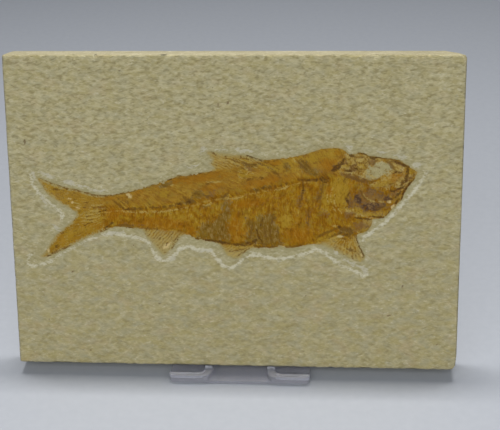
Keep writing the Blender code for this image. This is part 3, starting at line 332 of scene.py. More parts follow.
# Pale gold bone and ray.
PALE_LINES = [
    ([(-10.6, 3.5), (-8.6, 3.5), (-7.2, 4.2), (-5.9, 5.0)], 0.4),
    ([(-37.0, 0.9), (-31.0, 0.8), (-25.0, 1.0), (-19.6, 1.7), (-15.0, 2.5)], 0.4),
    ([(-1.8, 5.6), (0.6, 5.8), (3.6, 6.4)], 0.5), ([(13.4, 8.8), (16.0, 9.2), (18.6, 10.0)], 0.5),
    ([(-50.2, 0.6), (-48.4, 0.9), (-46.4, 1.0), (-45.2, 1.5), (-43.4, 1.8)], 0.5),
    ([(-50.8, -0.4), (-48.0, -0.2), (-45.6, 0.3), (-43.8, 0.6)], 0.4),
    ([(-51.4, -1.3), (-48.4, -1.4), (-45.6, -0.8), (-43.6, -0.4)], 0.45),
    ([(-51.0, -2.6), (-48.4, -2.4), (-45.4, -2.1)], 0.35),
    ([(-47.4, 2.9), (-45.6, 3.1), (-43.6, 3.2)], 0.35),
    ([(42.9, 7.6), (43.7, 6.6), (44.7, 5.7), (46.1, 5.2), (48.0, 5.1), (49.6, 5.1)], 0.45),
    ([(55.9, 9.6), (54.6, 8.2), (52.9, 6.6)], 0.4), ([(57.2, 11.4), (55.8, 10.2), (54.0, 9.9)], 0.35),
    ([(58.9, 12.9), (57.8, 12.0), (56.8, 10.8)], 0.35),
    ([(37.4, 2.0), (38.6, 1.9), (39.8, 2.3)], 0.9),
    ([(35.6, -10.2), (36.8, -11.0), (38.2, -11.6)], 0.6), ([(36.9, -11.4), (37.0, -12.6)], 0.6),
    ([(34.5, -6.7), (36.4, -6.8)], 0.8), ([(33.0, -3.4), (34.4, -3.0)], 0.6),
    ([(38.9, -8.0), (39.2, -9.6), (39.8, -11.0)], 0.4), ([(39.6, -7.6), (40.4, -9.4), (41.2, -11.2)], 0.4),
    ([(40.4, -7.4), (41.2, -9.2), (41.9, -11.2)], 0.35), ([(38.1, -8.8), (38.4, -10.4)], 0.4),
    ([(40.8, -12.4), (41.4, -12.4)], 1.0), ([(42.3, -13.2), (42.8, -13.4)], 0.8),
    ([(39.1, -12.0), (39.4, -13.0)], 0.5), ([(32.2, -7.2), (32.6, -8.4), (33.4, -9.6)], 0.4),
    ([(41.8, -14.2), (42.3, -16.4)], 0.6),
    ([(32.9, 9.8), (32.3, 7.6), (32.3, 5.6), (33.0, 3.4), (34.5, 1.0)], 0.15),
    ([(33.8, 8.9), (33.4, 6.6), (33.6, 4.6), (34.4, 3.0), (36.0, 1.0)], 0.2),
    ([(31.0, 7.4), (31.2, 4.8)], 0.4),
    ([(1.8, 14.0), (2.4, 13.0), (3.5, 12.5), (4.6, 12.8)], 0.4), ([(2.2, 14.8), (3.4, 14.7)], 0.35),
    ([(4.0, 13.6), (5.2, 14.6), (6.8, 14.2)], 0.35),
    ([(-8.8, 11.4), (-6.4, 11.2), (-3.6, 11.6)], 0.35),
    ([(-22.4, 9.4), (-21.0, 9.8), (-19.9, 10.2)], 0.35),
    ([(-1.6, 19.5), (0.4, 18.9), (2.4, 18.3)], 0.32), ([(-0.6, 17.9), (2.0, 17.1), (4.2, 16.2)], 0.32),
    ([(0.4, 17.0), (2.2, 16.6)], 0.4), ([(5.6, 18.4), (7.0, 18.0), (8.2, 18.4)], 0.4),
    ([(3.6, 16.4), (4.8, 15.6)], 0.4), ([(8.2, 17.6), (9.8, 17.2)], 0.4),
    ([(7.2, 16.4), (9.2, 15.4)], 0.35),
    ([(2.6, 18.6), (4.2, 18.3)], 0.5), ([(10.8, 16.8), (12.4, 16.2), (13.6, 15.4)], 0.5),
    ([(20.0, 19.2), (21.4, 17.8)], 0.35), ([(-6.4, 18.2), (-4.4, 18.7), (-2.6, 18.6)], 0.6),
    ([(49.0, 12.4), (50.6, 12.9), (52.2, 13.6)], 0.5), ([(44.8, 14.4), (45.6, 13.7), (46.9, 13.1)], 0.8),
    ([(-0.2, -12.7), (-1.0, -13.3), (-1.9, -13.9)], 0.55),
    ([(1.9, -12.8), (0.8, -13.5), (-0.1, -14.2)], 0.4),
    ([(-63.0, 9.4), (-61.2, 8.8)], 0.3), ([(37.6, 19.8), (38.8, 19.4)], 0.5),
    ([(40.8, 18.9), (42.0, 18.8), (43.2, 19.0)], 1.0), ([(41.2, 16.6), (42.2, 16.9)], 0.8),
    ([(37.6, 18.6), (38.4, 18.2)], 0.7), ([(43.2, 15.8), (43.6, 14.6)], 0.9),
    ([(40.0, 14.8), (41.2, 14.4)], 0.6),
    ([(53.6, 16.9), (54.8, 16.6)], 1.0), ([(48.8, 12.4), (50.4, 12.6), (52.0, 13.4)], 0.5),
    ([(34.6, -9.8), (36.5, -11.2), (38.7, -12.0)], 0.5), ([(39.8, -8.4), (40.2, -10.2)], 0.5),
]
PALE_SPOTS = [
    ((-34.8, 6.4), (1.05, 0.6), -40), ((-22.4, -10.7), (1.2, 0.75), 40), ((-62.9, -13.2), (0.35, 0.9), 0),
    ((16.1, -10.8), (1.3, 0.45), -5), ((51.4, 5.0), (0.6, 0.4), 30), ((-55.0, 5.1), (0.8, 0.35), 0),
    ((-53.9, 3.8), (0.45, 0.4), 0), ((-52.0, 2.1), (0.7, 0.35), 0), ((35.5, -6.8), (1.1, 0.35), -5),
    ((-22.9, -11.4), (0.9, 0.5), 10), ((52.6, 3.4), (0.9, 0.4), 35),
    ((-21.4, -9.9), (0.5, 0.3), 20), ((42.7, -13.3), (0.5, 0.4), 0),
]
# Olive-gold areas.
GOLD_SPOTS = [
    ((35.6, 8.6), (2.6, 5.6), 0), ((41.6, 1.9), (2.6, 0.8), -12), ((48.4, 1.2), (3.2, 0.7), 12),
    ((42.4, 16.9), (1.6, 1.2), 0), ((43.4, -4.6), (1.8, 0.9), 30), ((47.6, 6.2), (2.2, 0.8), -5),
    ((-47.5, -0.6), (4.0, 2.2), 3), ((13.2, 16.2), (2.8, 1.4), -25), ((5.4, 18.6), (2.4, 0.8), -15),
    ((32.0, -7.6), (3.4, 1.6), 20), ((1.6, -11.2), (4.6, 1.0), 3), ((58.4, 15.6), (1.0, 1.0), 0),
    ((-22.8, 7.0), (1.4, 1.2), 0), ((30.8, 6.0), (1.6, 3.2), 0), ((-18.0, -1.4), (2.6, 1.2), 0),
    ((3.4, 13.6), (1.6, 1.4), 0), ((20.2, 18.2), (1.4, 1.6), 0), ((37.6, 18.0), (1.4, 1.6), 0),
    ((-60.6, 9.0), (2.6, 1.2), -20), ((49.6, 11.4), (3.6, 1.2), 20), ((33.6, 21.4), (2.6, 1.4), 0),
    ((17.6, -1.8), (2.2, 2.6), 0), ((-10.0, -6.6), (2.6, 1.4), 0), ((27.0, 19.4), (2.2, 1.2), 20),
]
# Redder, deeper skin.
RUST_SPOTS = [
    ((-45.6, -4.2), (2.6, 1.4), -15), ((-40.5, 0.2), (2.4, 2.4), 0), ((-12.0, 12.6), (9.0, 1.6), 8),
    ((53.2, 13.2), (3.0, 1.3), 18), ((31.6, 17.4), (2.6, 2.0), 0), ((0.6, -4.4), (2.3, 4.2), 0),
    ((10.0, 11.6), (7.0, 1.6), 12), ((21.6, -6.6), (4.4, 3.0), 0), ((-24.0, -3.0), (8.0, 2.0), 0),
    ((38.0, -8.2), (1.2, 1.0), 0), ((-59.0, -8.4), (2.6, 1.6), -45), ((-14.2, -5.8), (1.9, 2.0), 0),
    ((-31.6, 7.6), (1.8, 0.8), 12), ((13.4, 18.0), (2.6, 0.8), 0), ((-42.6, 5.4), (3.0, 0.8), 0),
    ((6.0, 4.4), (6.0, 1.4), 8), ((-37.6, 0.6), (4.0, 1.0), 0), ((31.6, 8.6), (1.2, 1.6), 0),
    ((-7.0, 9.6), (3.6, 1.2), 10), ((34.4, 21.4), (1.4, 0.8), 0), ((54.2, 8.6), (1.6, 0.8), 30),
]
# Gold stripes: the jaw's edge and the strip over it.
GOLD_LINES = [
    ([(38.6, 2.4), (41.3, 1.9), (43.2, 1.1), (45.6, 0.7), (48.0, 1.3), (50.4, 1.8), (51.6, 2.3)], 1.3),
    ([(28.0, -8.4), (31.0, -7.4), (33.6, -6.6)], 1.6),
    ([(10.4, 17.4), (13.2, 16.4), (15.6, 15.0)], 1.2),
    ([(2.6, 19.0), (5.2, 18.4), (7.6, 18.4)], 0.9),
]
# Paler bone of the skull, the snout and the cheek, as outlines.
BONE_AREAS = [
    [(36.6, 20.4), (38.6, 20.9), (44.2, 20.7), (48.0, 19.8), (54.4, 18.9), (57.2, 16.6), (56.4, 14.6),
     (53.0, 14.4), (50.0, 12.6), (45.4, 12.0), (41.0, 12.8), (36.6, 13.6), (35.4, 16.4)],
    [(37.4, 3.4), (40.6, 2.6), (44.6, 1.2), (49.4, 1.6), (50.4, 0.4), (45.0, -0.2), (38.0, 0.8)],
    [(44.8, 11.4), (48.6, 12.0), (52.4, 13.4), (53.6, 12.0), (50.6, 9.8), (46.4, 9.9)],
    [(52.2, 13.0), (56.2, 14.4), (59.8, 15.2), (59.0, 12.6), (57.0, 9.6), (53.4, 9.6)],
    [(42.6, -1.2), (46.6, -1.4), (46.2, -3.6), (44.4, -5.2), (41.6, -6.2), (41.6, -4.8), (43.0, -3.6)],
]
# Gold skin of the nape.
GOLD_AREAS = [
    [(34.0, 22.6), (28.0, 21.8), (22.0, 20.2), (16.0, 19.4), (11.6, 18.6), (13.6, 15.4), (19.0, 14.8),
     (24.6, 16.6), (30.4, 18.4), (34.4, 19.0)],
]
# Rock that shows through at the eye's socket.
ROCK_AREAS = [
    [(43.6, 15.2), (44.6, 16.8), (45.6, 17.0), (47.0, 18.0), (48.9, 18.4), (50.2, 17.9), (51.9, 17.2),
     (52.4, 15.6), (50.6, 14.6), (48.8, 13.7), (46.8, 12.5), (44.4, 13.1)],
]

# ---- marks on the slab --------------------------------------------------------------------------------
SPECKS = [
    ((-69.0, 24.5), (0.5, 1.0), 0), ((-55.0, -20.4), (0.5, 0.4), 30), ((24.2, -27.9), (0.4, 0.4), 0),
    ((51.9, -34.4), (1.0, 0.32), 22), ((45.9, -33.4), (0.35, 0.35), 0), ((-4.4, 37.0), (0.3, 0.4), 0),
    ((-36.5, 48.0), (0.35, 0.3), 0), ((-6.2, 42.4), (0.4, 0.3), 30), ((-1.3, 37.6), (0.5, 0.5), 0),
    ((68.0, -40.0), (0.4, 0.3), 0), ((68.5, -44.4), (0.35, 0.3), 0), ((-64.0, -37.6), (0.4, 0.3), 0),
    ((-50.0, -48.6), (0.4, 0.35), 0), ((-33.9, -10.8), (0.4, 0.35), 0), ((-37.2, 15.7), (0.3, 0.2), 0),
    ((-41.2, 12.2), (0.5, 0.25), -40), ((-25.5, -31.4), (0.4, 0.3), 0), ((56.4, -23.9), (0.6, 0.4), 20),
]
WHITE_PATCHES = [
    ((4.4, 21.8), (3.2, 0.8), -12), ((-9.4, 22.2), (1.4, 0.8), 20), ((38.2, 23.0), (1.4, 1.0), 0),
    ((48.6, 21.4), (1.6, 0.7), -10), ((-55.0, 10.6), (2.6, 0.7), -15), ((-62.0, 13.0), (3.2, 0.8), -20),
    ((-66.9, 13.0), (0.8, 1.8), 0), ((60.2, 17.4), (1.6, 0.8), -40), ((-59.6, -5.2), (1.6, 1.0), -45),
    ((43.6, -18.4), (0.9, 1.8), 10), ((34.4, -12.2), (1.4, 0.8), -50), ((-9.5, -12.4), (3.0, 0.6), 0),
    ((54.8, 20.2), (2.6, 0.6), -12), ((-50.0, 9.4), (2.6, 0.5), -12), ((-13.0, 16.4), (2.6, 0.6), 15),
    ((39.6, -16.2), (3.4, 0.7), -28), ((-3.6, 22.0), (2.0, 0.5), 0), ((-45.5, 8.0), (3.0, 0.6), -8),
    ((-40.0, -6.6), (3.6, 0.7), 5), ((-63.6, 4.6), (2.2, 0.8), -50), ((-20.6, -15.4), (1.6, 0.9), 30),
]

# ---- curves, distances and noise on the face ----------------------------------------------------------
def smooth(share):
    """0 to 1 with level ends."""
    share = np.clip(share, 0.0, 1.0)
    return share * share * (3.0 - 2.0 * share)


def spline(points, steps, closed=False):
    """A Catmull-Rom curve through the points, with that many steps between each two."""
    p = np.array(points, float)
    count = len(p) if closed else len(p) - 1
    ends = p if closed else np.vstack([2 * p[0] - p[1], p, 2 * p[-1] - p[-2]])
    line = []
    for i in range(count):
        a, b, c, d = (ends[(i + k - 1) % len(p)] if closed else ends[i + k] for k in range(4))
        for t in np.arange(steps) / steps:
            line.append(0.5 * (2 * b + (c - a) * t + (2 * a - 5 * b + 4 * c - d) * t**2
                               + (3 * b - a - 3 * c + d) * t**3))
    if not closed:
        line.append(p[-1])
    return np.array(line)


def distance_along(points, line, reach):
    """(distance from each point to the polyline, at most the reach; length along the line there)."""
    far = np.full(len(points), float(reach))
    along = np.zeros(len(points))
    near = np.all((points > line.min(axis=0) - reach) & (points < line.max(axis=0) + reach), axis=1)
    place = points[near]
    best = far[near]
    best_along = along[near]
    start = 0.0
    for a, b in zip(line[:-1], line[1:]):
        step = b - a
        length = max(np.hypot(*step), 1e-6)
        t = np.clip((place - a) @ step / length**2, 0.0, 1.0)
        d = np.hypot(*(place - a - t[:, None] * step).T)
        closer = d < best
        best[closer] = d[closer]
        best_along[closer] = start + t[closer] * length
        start += length
    far[near] = best
    along[near] = best_along
    return far, along


def inside(points, outline):
    """True for each point within the closed outline."""
    odd = np.zeros(len(points), bool)
    x, y = points.T
    for (ax, ay), (bx, by) in zip(outline, np.roll(outline, -1, axis=0)):
        crosses = (ay > y) != (by > y)
        if ay != by:
            odd ^= crosses & (x < ax + (y - ay) * (bx - ax) / (by - ay))
    return odd


def signed_distance(points, outline, reach):
    """Distance to the closed outline, at most the reach, positive inside it."""
    far, _ = distance_along(points, np.vstack([outline, outline[:1]]), reach)
    return np.where(inside(points, outline), far, -far)


def lumps(points, size, seed):
    """Smooth noise between about -1 and 1, with lumps of that size (across, up)."""
    random = np.random.RandomState(seed)
    order = random.permutation(256)
    turns = random.uniform(0, 2 * math.pi, 256)
    cell = points / np.array(size)
    low = np.floor(cell).astype(int)
    part = cell - low
    fade = part**3 * (part * (part * 6 - 15) + 10)
    total = np.zeros(len(points))
    for i in (0, 1):
        for j in (0, 1):
            turn = turns[order[(order[(low[:, 0] + i) % 256] + low[:, 1] + j) % 256]]
            slope = np.cos(turn) * (part[:, 0] - i) + np.sin(turn) * (part[:, 1] - j)
            total += slope * np.abs(1 - i - fade[:, 0]) * np.abs(1 - j - fade[:, 1])
    return total * 1.6  # up to about 1 either way


def rough(points, size, seed, octaves):
    """Noise with finer noise on it."""
    total = np.zeros(len(points))
    for k in range(octaves):
        total += lumps(points, np.array(size) / 2**k, seed + k) / 2**k
    return total


def shaken(points, by, size, seed):
    """The points, each moved a little by noise, so that what is drawn there has an uneven edge."""
    shift = [rough(points, (size, size), seed + 10 * k, 2) for k in (0, 1)]
    return points + by * np.column_stack(shift)


def turned(points, centre, degrees):
    """The points about the centre, turned back by that angle."""
    angle = math.radians(degrees)
    away = points - np.array(centre)
    return np.column_stack([away @ (math.cos(angle), math.sin(angle)),
                            away @ (-math.sin(angle), math.cos(angle))])


def oval_mask(points, centre, radii, degrees, soft):
    """1 in the oval, falling to 0 across its edge."""
    share = np.hypot(*(turned(points, centre, degrees) / np.array(radii)).T)
    return smooth((1.0 + soft / 2 - share) / soft)


def ovals_mask(points, ovals, soft):
    """1 in any of the ovals, falling to 0 across their edges."""
    return np.max([oval_mask(points, *oval, soft) for oval in ovals], axis=0)


def lines_mask(points, lines, soft, bold=1.0):
    """1 on the lines, which taper towards their ends, falling to 0 past their half width; a bold above 1
    widens them."""
    mask = np.zeros(len(points))
    for line, width in lines:
        curve = spline(line, 5)
        far, along = distance_along(points, curve, width + soft)
        length = np.sum(np.hypot(*np.diff(curve, axis=0).T))
        taper = 0.45 + 0.55 * np.sin(math.pi * np.clip(along / length, 0.04, 0.96))**0.5
        mask = np.maximum(mask, smooth((width / 2 * taper + bold * soft - far) / (2 * soft)))
    return mask


def areas_mask(points, areas, soft):
    """1 well within the outlines, falling to 0 across their edges."""
    return np.max([smooth(0.5 + signed_distance(points, np.array(area), soft) / soft) for area in areas],
                  axis=0)


OUTLINE = spline(FISH, 4, closed=True)
BODY_EDGE = spline(BODY, 3, closed=True)
HOLLOW_EDGE = spline(HOLLOW, 3, closed=True)
SPINE = spline(BACKBONE, 6)


# ---- heights of the stone and of the fossil, in millimetres -------------------------------------------
SWELL = (7.0, 4.6)  # the split face's broad swells
SWELL_RISE = 0.16
PEBBLE = (2.3, 1.4)  # the smaller lumps on them
PEBBLE_RISE = 0.16
FLAKE = (1.5, 0.9)  # and the flaky ridges on those
FLAKE_RISE = 0.11
GRIT = (0.95, 0.7)
GRIT_RISE = 0.03
SCRAPED_FLOOR = -0.16  # the prepared stone round the fish
SCRAPED_SLOPE = 1.2  # how wide the step down to it is
TOOLED = (2.6, 2.0)  # the lumps that the tool left
TOOLED_RISE = 0.05
SCRATCHED = (0.9, 0.9)  # and the finer marks on them
SCRATCHED_RISE = 0.02
SCRIBED_DEPTH = 0.12  # the line cut along the hollow's edge
SCRIBED_REACH = 0.6  # from its middle to its side
POCKET_FLOOR = -0.82  # the stone under the fish, which can't be seen
POCKET_INSET = 0.9  # how far inside the fish's outline its side starts
POCKET_SLOPE = 0.7
RIM = -0.25  # the fossil's edge, under the stone that laps onto it
RIM_RISE = 0.17  # how much it rises at once from there
RIM_SLOPE = 0.7
FLANK_RISE = 0.42
FLANK_SLOPE = 8.0
SPINE_RISE = 0.16
JOINT_DEPTH = 0.08
RIB_RISE = 0.08
RAY_RISE = 0.09
# How far bone and stains lie above the skin, or below it where skin is missing.
MARK_RISES = {"pale": 0.07, "cream": 0.06, "ink": 0.10, "brown": 0.06, "worn": -0.14, "rock": -0.24,
              "violet": -0.05}
SKIN_GRAIN = (0.8, 0.6)
SKIN_GRAIN_RISE = 0.035
SKIN_SWELL = (3.0, 2.2)
SKIN_SWELL_RISE = 0.05
VERTEBRA = 2.0
RIB_WIDTH = 0.38  # the widths and rises of the ribs,
RIB_CREST = 0.10
UPPER_WIDTH = 0.32  # of the long spines above the backbone
UPPER_CREST = 0.07
FINE_WIDTH = 0.28  # and of the fine bones that lie among the muscles
FINE_CREST = 0.06
RIB_UNIT = 0.12  # the crest that the ribs' mark counts as 1
TOP_ARRIS = 0.22  # how far the face's upper edge is rubbed back


def stone_height(points):
    """The split face, smoother and lower where it was scraped round the fish."""
    into_hollow = signed_distance(points, HOLLOW_EDGE, 6.0)
    into_fish = signed_distance(points, OUTLINE, 6.0)
    scraped = smooth(0.5 + (into_hollow + 0.25 * rough(points, (1.6, 1.6), 31, 2)) / SCRAPED_SLOPE)
    natural = SWELL_RISE * rough(points, SWELL, 11, 2)
    natural += PEBBLE_RISE * lumps(shaken(points, 0.7, 2.6, 22), PEBBLE, 21)
    natural += FLAKE_RISE * lumps(shaken(points, 0.5, 1.8, 24), FLAKE, 23)
    tooled = (SCRAPED_FLOOR + TOOLED_RISE * lumps(points, TOOLED, 41)
              + SCRATCHED_RISE * lumps(points, SCRATCHED, 42))
    height = natural * (1 - scraped) + tooled * scraped
    height += GRIT_RISE * rough(points, GRIT, 51, 2)
    height -= SCRIBED_DEPTH * smooth(1.0 - np.abs(into_hollow) / SCRIBED_REACH) * scribed_share(points)
    pocket = smooth((into_fish - POCKET_INSET) / POCKET_SLOPE)
    return height * (1 - pocket) + POCKET_FLOOR * pocket


def scribed_share(points):
    """How strongly the nearest stretch of the scribed line shows."""
    nearness = [np.exp(-2.5 * distance_along(points, spline(stretch, 3), 3.0)[0])
                for stretch, _ in SCRIBED]
    return sum(near * share for near, (_, share) in zip(nearness, SCRIBED)) / sum(nearness)


def worn_edge(points, from_edge):
    """How far the stone has dropped along the rim of the face: more where it is worn or chipped."""
    wear = 0.5 + 0.5 * rough(points, (3.1, 3.1), 61, 3)
    chips = smooth((lumps(points, (2.4, 2.4), 71) - 0.55) / 0.3)
    width = 0.30 + 0.25 * wear + 0.5 * chips
    drop = 0.08 + 0.12 * wear + 0.16 * chips
    return drop * smooth(1.0 - from_edge / width)


def ribs_and_spines():
    """Rows of (line, width, rise): the ribs and the fine bones above and below the backbone."""
    random = np.random.RandomState(7)
    bones = []
    along = np.append(0.0, np.cumsum(np.hypot(*np.diff(SPINE, axis=0).T)))
    at = np.arange(1.0, along[-1], VERTEBRA)
    for x, y in np.column_stack([np.interp(at, along, SPINE[:, k]) for k in (0, 1)]):
        body = smooth((x + 46.0) / 30.0)  # bones are longer towards the head
        drop = 5.0 + 9.5 * body
        lean = -0.55 + 0.35 * body
        reach = np.linspace(0.9, drop, 5)
        bow = 0.7 * np.sin(math.pi * reach / drop)
        if x < 30.0:
            rib = np.column_stack([x + lean * reach + bow, y - reach])
            bones.append((rib, RIB_WIDTH, RIB_CREST + 0.03 * random.rand()))
        rise = np.linspace(0.9, 4.0 + 4.5 * body, 4)
        bones.append((np.column_stack([x - 0.75 * rise, y + rise]), UPPER_WIDTH, UPPER_CREST))
        for side in (-1, 1):
            for k in range(2):
                start = 1.6 + 2.2 * k + 0.8 * random.rand()
                length = 3.6 + 1.6 * random.rand()
                slope = (0.22 + 0.2 * random.rand()) * side
                reach = np.linspace(0.0, length, 3)
                fine = np.column_stack([x + 1.0 - reach, y + side * start + slope * reach])
                bones.append((fine, FINE_WIDTH, FINE_CREST))
    return bones


# A fin's rays run from its root to its margin, each given by its two ends. Then come how many rays it has,
# how long they are, the share of bare stone between them at the root and at the margin, and their strength.
Fin = namedtuple("Fin", "root margin rays length bare_root bare_margin strength")
FINS = {
    "tail_upper": Fin(((-43.2, 5.9), (-44.0, 0.9)), ((-64.6, 11.9), (-54.0, 0.9)), 8, 20.0,
                      -0.3, 0.12, 0.45),
    "tail_lower": Fin(((-43.9, 0.5), (-42.6, -4.6)), ((-54.2, -1.2), (-65.0, -15.0)), 8, 20.0,
                      -0.4, -0.15, 0.4),
    "dorsal": Fin(((9.8, 18.5), (-4.6, 15.4)), ((4.8, 20.2), (-7.8, 16.9)), 9, 13.0, 0.3, 0.6, 0.8),
    "anal": Fin(((-16.8, -6.6), (-30.6, -5.2)), ((-23.4, -14.0), (-32.4, -7.0)), 12, 8.0,
                0.45, 0.85, 0.85),
    "pelvic": Fin(((6.4, -10.6), (-3.4, -9.8)), ((2.4, -13.4), (-6.0, -11.5)), 8, 6.0, 0.25, 0.7, 0.6),
    "pectoral": Fin(((40.6, -6.2), (34.6, -7.4)), ((43.6, -14.2), (29.6, -10.4)), 10, 8.0,
                    -0.2, 0.62, 0.7),
}
RAY_SPACING = 0.8  # of the rays in the skin's own measure across them
FIN_OFFSET = 40.0  # keeps a fin's measure across its rays apart from the flank's
TAIL_START = -43


def carve(points, lines):
    """The greatest of the round-topped ridges along (line, width, rise)."""
    height = np.zeros(len(points))
    for line, width, rise in lines:
        far, _ = distance_along(points, line, width)
        height = np.maximum(height, rise * smooth(1.0 - far / width))
    return height


def along_fin(points, fin):
    """(which ray each point is on, counted across the fin; how far it is from the fin's root)."""
    root_start, root_end = np.array(fin.root)
    margin_start, margin_end = np.array(fin.margin)
    share = np.linspace(-0.25, 1.25, 31)[:, None]
    root = root_start * (1 - share) + root_end * share
    ray = margin_start * (1 - share) + margin_end * share - root
    side = np.array([r[0] * (points[:, 1] - o[1]) - r[1] * (points[:, 0] - o[0])
                     for o, r in zip(root, ray / np.hypot(*ray.T)[:, None])])
    step = root_end - root_start
    turn = np.sign(ray[0, 0] * step[1] - ray[0, 1] * step[0])
    place = np.array([np.interp(0.0, turn * -column, share[:, 0]) for column in side.T])
    start = root_start * (1 - place[:, None]) + root_end * place[:, None]
    return place * fin.rays, np.hypot(*(points - start).T)


def fin_homes(points):
    """Which of the points lie in each fin."""
    x, y = points.T
    off_body = signed_distance(points, BODY_EDGE, 9.0) < 0.8
    return {
        "tail_upper": (x < TAIL_START) & (y > 0.4),
        "tail_lower": (x < TAIL_START) & (y <= 0.4),
        "dorsal": off_body & (y > 14) & (x < 14),
        "anal": off_body & (x > TAIL_START) & (x < -14) & (y < -4),
        "pelvic": off_body & (x > -8) & (x < 9) & (y < -8),
        "pectoral": off_body & (x > 27) & (y < -4),
    }


def flow(points):
    """How the grain of bone and skin runs: (across it, along it, share of stone between a fin's rays, how
    strong its rays are)."""
    x, y = points.T
    up = y - np.interp(x, *SPINE.T)
    back = x + 0.55 * up + 0.09 * up**2 * smooth((22.0 - x) / 20.0)
    across = np.where(up < 0, x - 0.16 * up - 0.012 * up**2, back)
    along = np.abs(up)
    thin = np.zeros(len(points))
    strength = np.zeros(len(points))
    for name, home in fin_homes(points).items():
        fin = FINS[name]
        place, far = along_fin(points[home], fin)
        across[home] = place * RAY_SPACING + FIN_OFFSET
        along[home] = far
        thin[home] = fin.bare_root + (fin.bare_margin - fin.bare_root) * smooth(far / fin.length)
        if name == "pectoral":  # its rays part from each other towards the belly
            thin[home] += 0.5 * smooth(place / fin.rays - 0.25)
        fade = 0.3 if name == "pectoral" else 0.7
        strength[home] = fin.strength * (1.0 - fade * smooth(far / fin.length / 0.6 - 0.7))
    in_tail = x < TAIL_START
    strength[in_tail] *= 0.35 + 0.65 * smooth(1.4 - np.abs(y[in_tail] - 0.3) / 4.0)
    return across, along, thin, strength


def spine_marks(drawn):
    """The backbone, the dark joints above it and the back, as values at each point."""
    far, along = distance_along(drawn, SPINE, 3.0)
    up = drawn[:, 1] - np.interp(drawn[:, 0], *SPINE.T)
    beads = 0.5 + 0.5 * np.cos(2 * math.pi * along / VERTEBRA)
    # The joints show along the stem and under the dorsal fin.
    clear = np.interp(drawn[:, 0], (-39, -36, -17, -13, 4, 7, 18, 21), (0, 1, 1, 0.25, 0.25, 1, 1, 0))
    return {
        "spine": smooth(1.05 - far / 0.7) * (0.75 + 0.25 * beads),
        "bead": smooth((beads - 0.45) / 0.4) * (up > 0) * smooth(1.0 - np.abs(far - 0.9) / 0.7) * clear,
        "back": smooth((up - 0.6) / 3.0),
    }


def grain_marks(points, drawn):
    """The grain's measures and the fins' rays, as values at each point."""
    lobes = smooth((-42.0 - drawn[:, 0]) / 4.0) * smooth((np.abs(drawn[:, 1] - 0.3) - 2.5) / 2.0)
    across, along, thin, strength = flow(shaken(shaken(points, 0.3, 3.0, 95), 0.22, 1.2, 97))
    rays = 0.5 + 0.06 * lobes + 0.5 * strength * np.cos(2 * math.pi * across / RAY_SPACING)
    return {"across": across, "along": along, "thin": thin, "ray": rays}


def fossil_marks(points):
    """Every mark on the fossil as a value at each point: most are from 0 to 1."""
    drawn = shaken(shaken(points, 0.16, 1.3, 81), 0.10, 0.5, 83)
    loose = shaken(points, 0.6, 2.0, 91)
    into_body = signed_distance(shaken(points, 0.5, 1.6, 93), BODY_EDGE, 9.0)
    skull = smooth((drawn[:, 0] - 33.0) / 4.0)
    violet = ovals_mask(loose, VIOLET, soft=1.1)
    gold = ovals_mask(loose, GOLD_SPOTS, soft=1.2)
    return {
        "ink": lines_mask(drawn, INK_LINES, soft=0.3, bold=1.3),
        "brown": lines_mask(drawn, BROWN_LINES, soft=0.36, bold=1.1),
        "pale": lines_mask(drawn, PALE_LINES, soft=0.32, bold=1.1),
        "cream": ovals_mask(drawn, PALE_SPOTS, soft=1.3),
        "violet": np.maximum(violet, 0.5 * ovals_mask(loose, VIOLET_FAINT, soft=1.6)),
        "lilac": ovals_mask(loose, LILAC, soft=1.6) * (0.6 + 0.4 * skull),
        "worn": np.maximum(areas_mask(loose, WORN_AREAS, soft=2.6),
                           ovals_mask(loose, WORN_SPOTS, soft=1.0)),
        "gold": np.max([gold, lines_mask(drawn, GOLD_LINES, soft=0.4),
                        0.6 * areas_mask(loose, GOLD_AREAS, soft=2.4)], axis=0),
        "bone": areas_mask(loose, BONE_AREAS, soft=2.4),
        "rust": ovals_mask(loose, RUST_SPOTS, soft=1.2),
        "rock": areas_mask(loose, ROCK_AREAS, soft=2.0),
        "fin": smooth(0.5 - into_body / 1.6),
        "rib": carve(drawn, ribs_and_spines()) / RIB_UNIT,
        "edge": np.clip(signed_distance(drawn, OUTLINE, 9.0), 0.0, 3.0),
        "skull": skull,
        **spine_marks(drawn),
        **grain_marks(points, drawn),
    }


def fossil_height(points, marks):
    """Skin and bone, standing a little above the stone."""
    into_fish = signed_distance(points, OUTLINE, 9.0)
    height = RIM + FLANK_RISE * smooth(into_fish / FLANK_SLOPE) + RIM_RISE * smooth(into_fish / RIM_SLOPE)
    body = 1.0 - marks["fin"]
    height += (SPINE_RISE * marks["spine"] + RIB_RISE * marks["rib"]) * body
    height += RAY_RISE * marks["ray"] * marks["fin"] - JOINT_DEPTH * marks["bead"]
    height += sum(rise * marks[mark] for mark, rise in MARK_RISES.items())
    height += SKIN_GRAIN_RISE * rough(points, SKIN_GRAIN, 101, 2)
    height += SKIN_SWELL_RISE * lumps(points, SKIN_SWELL, 111)
    return height


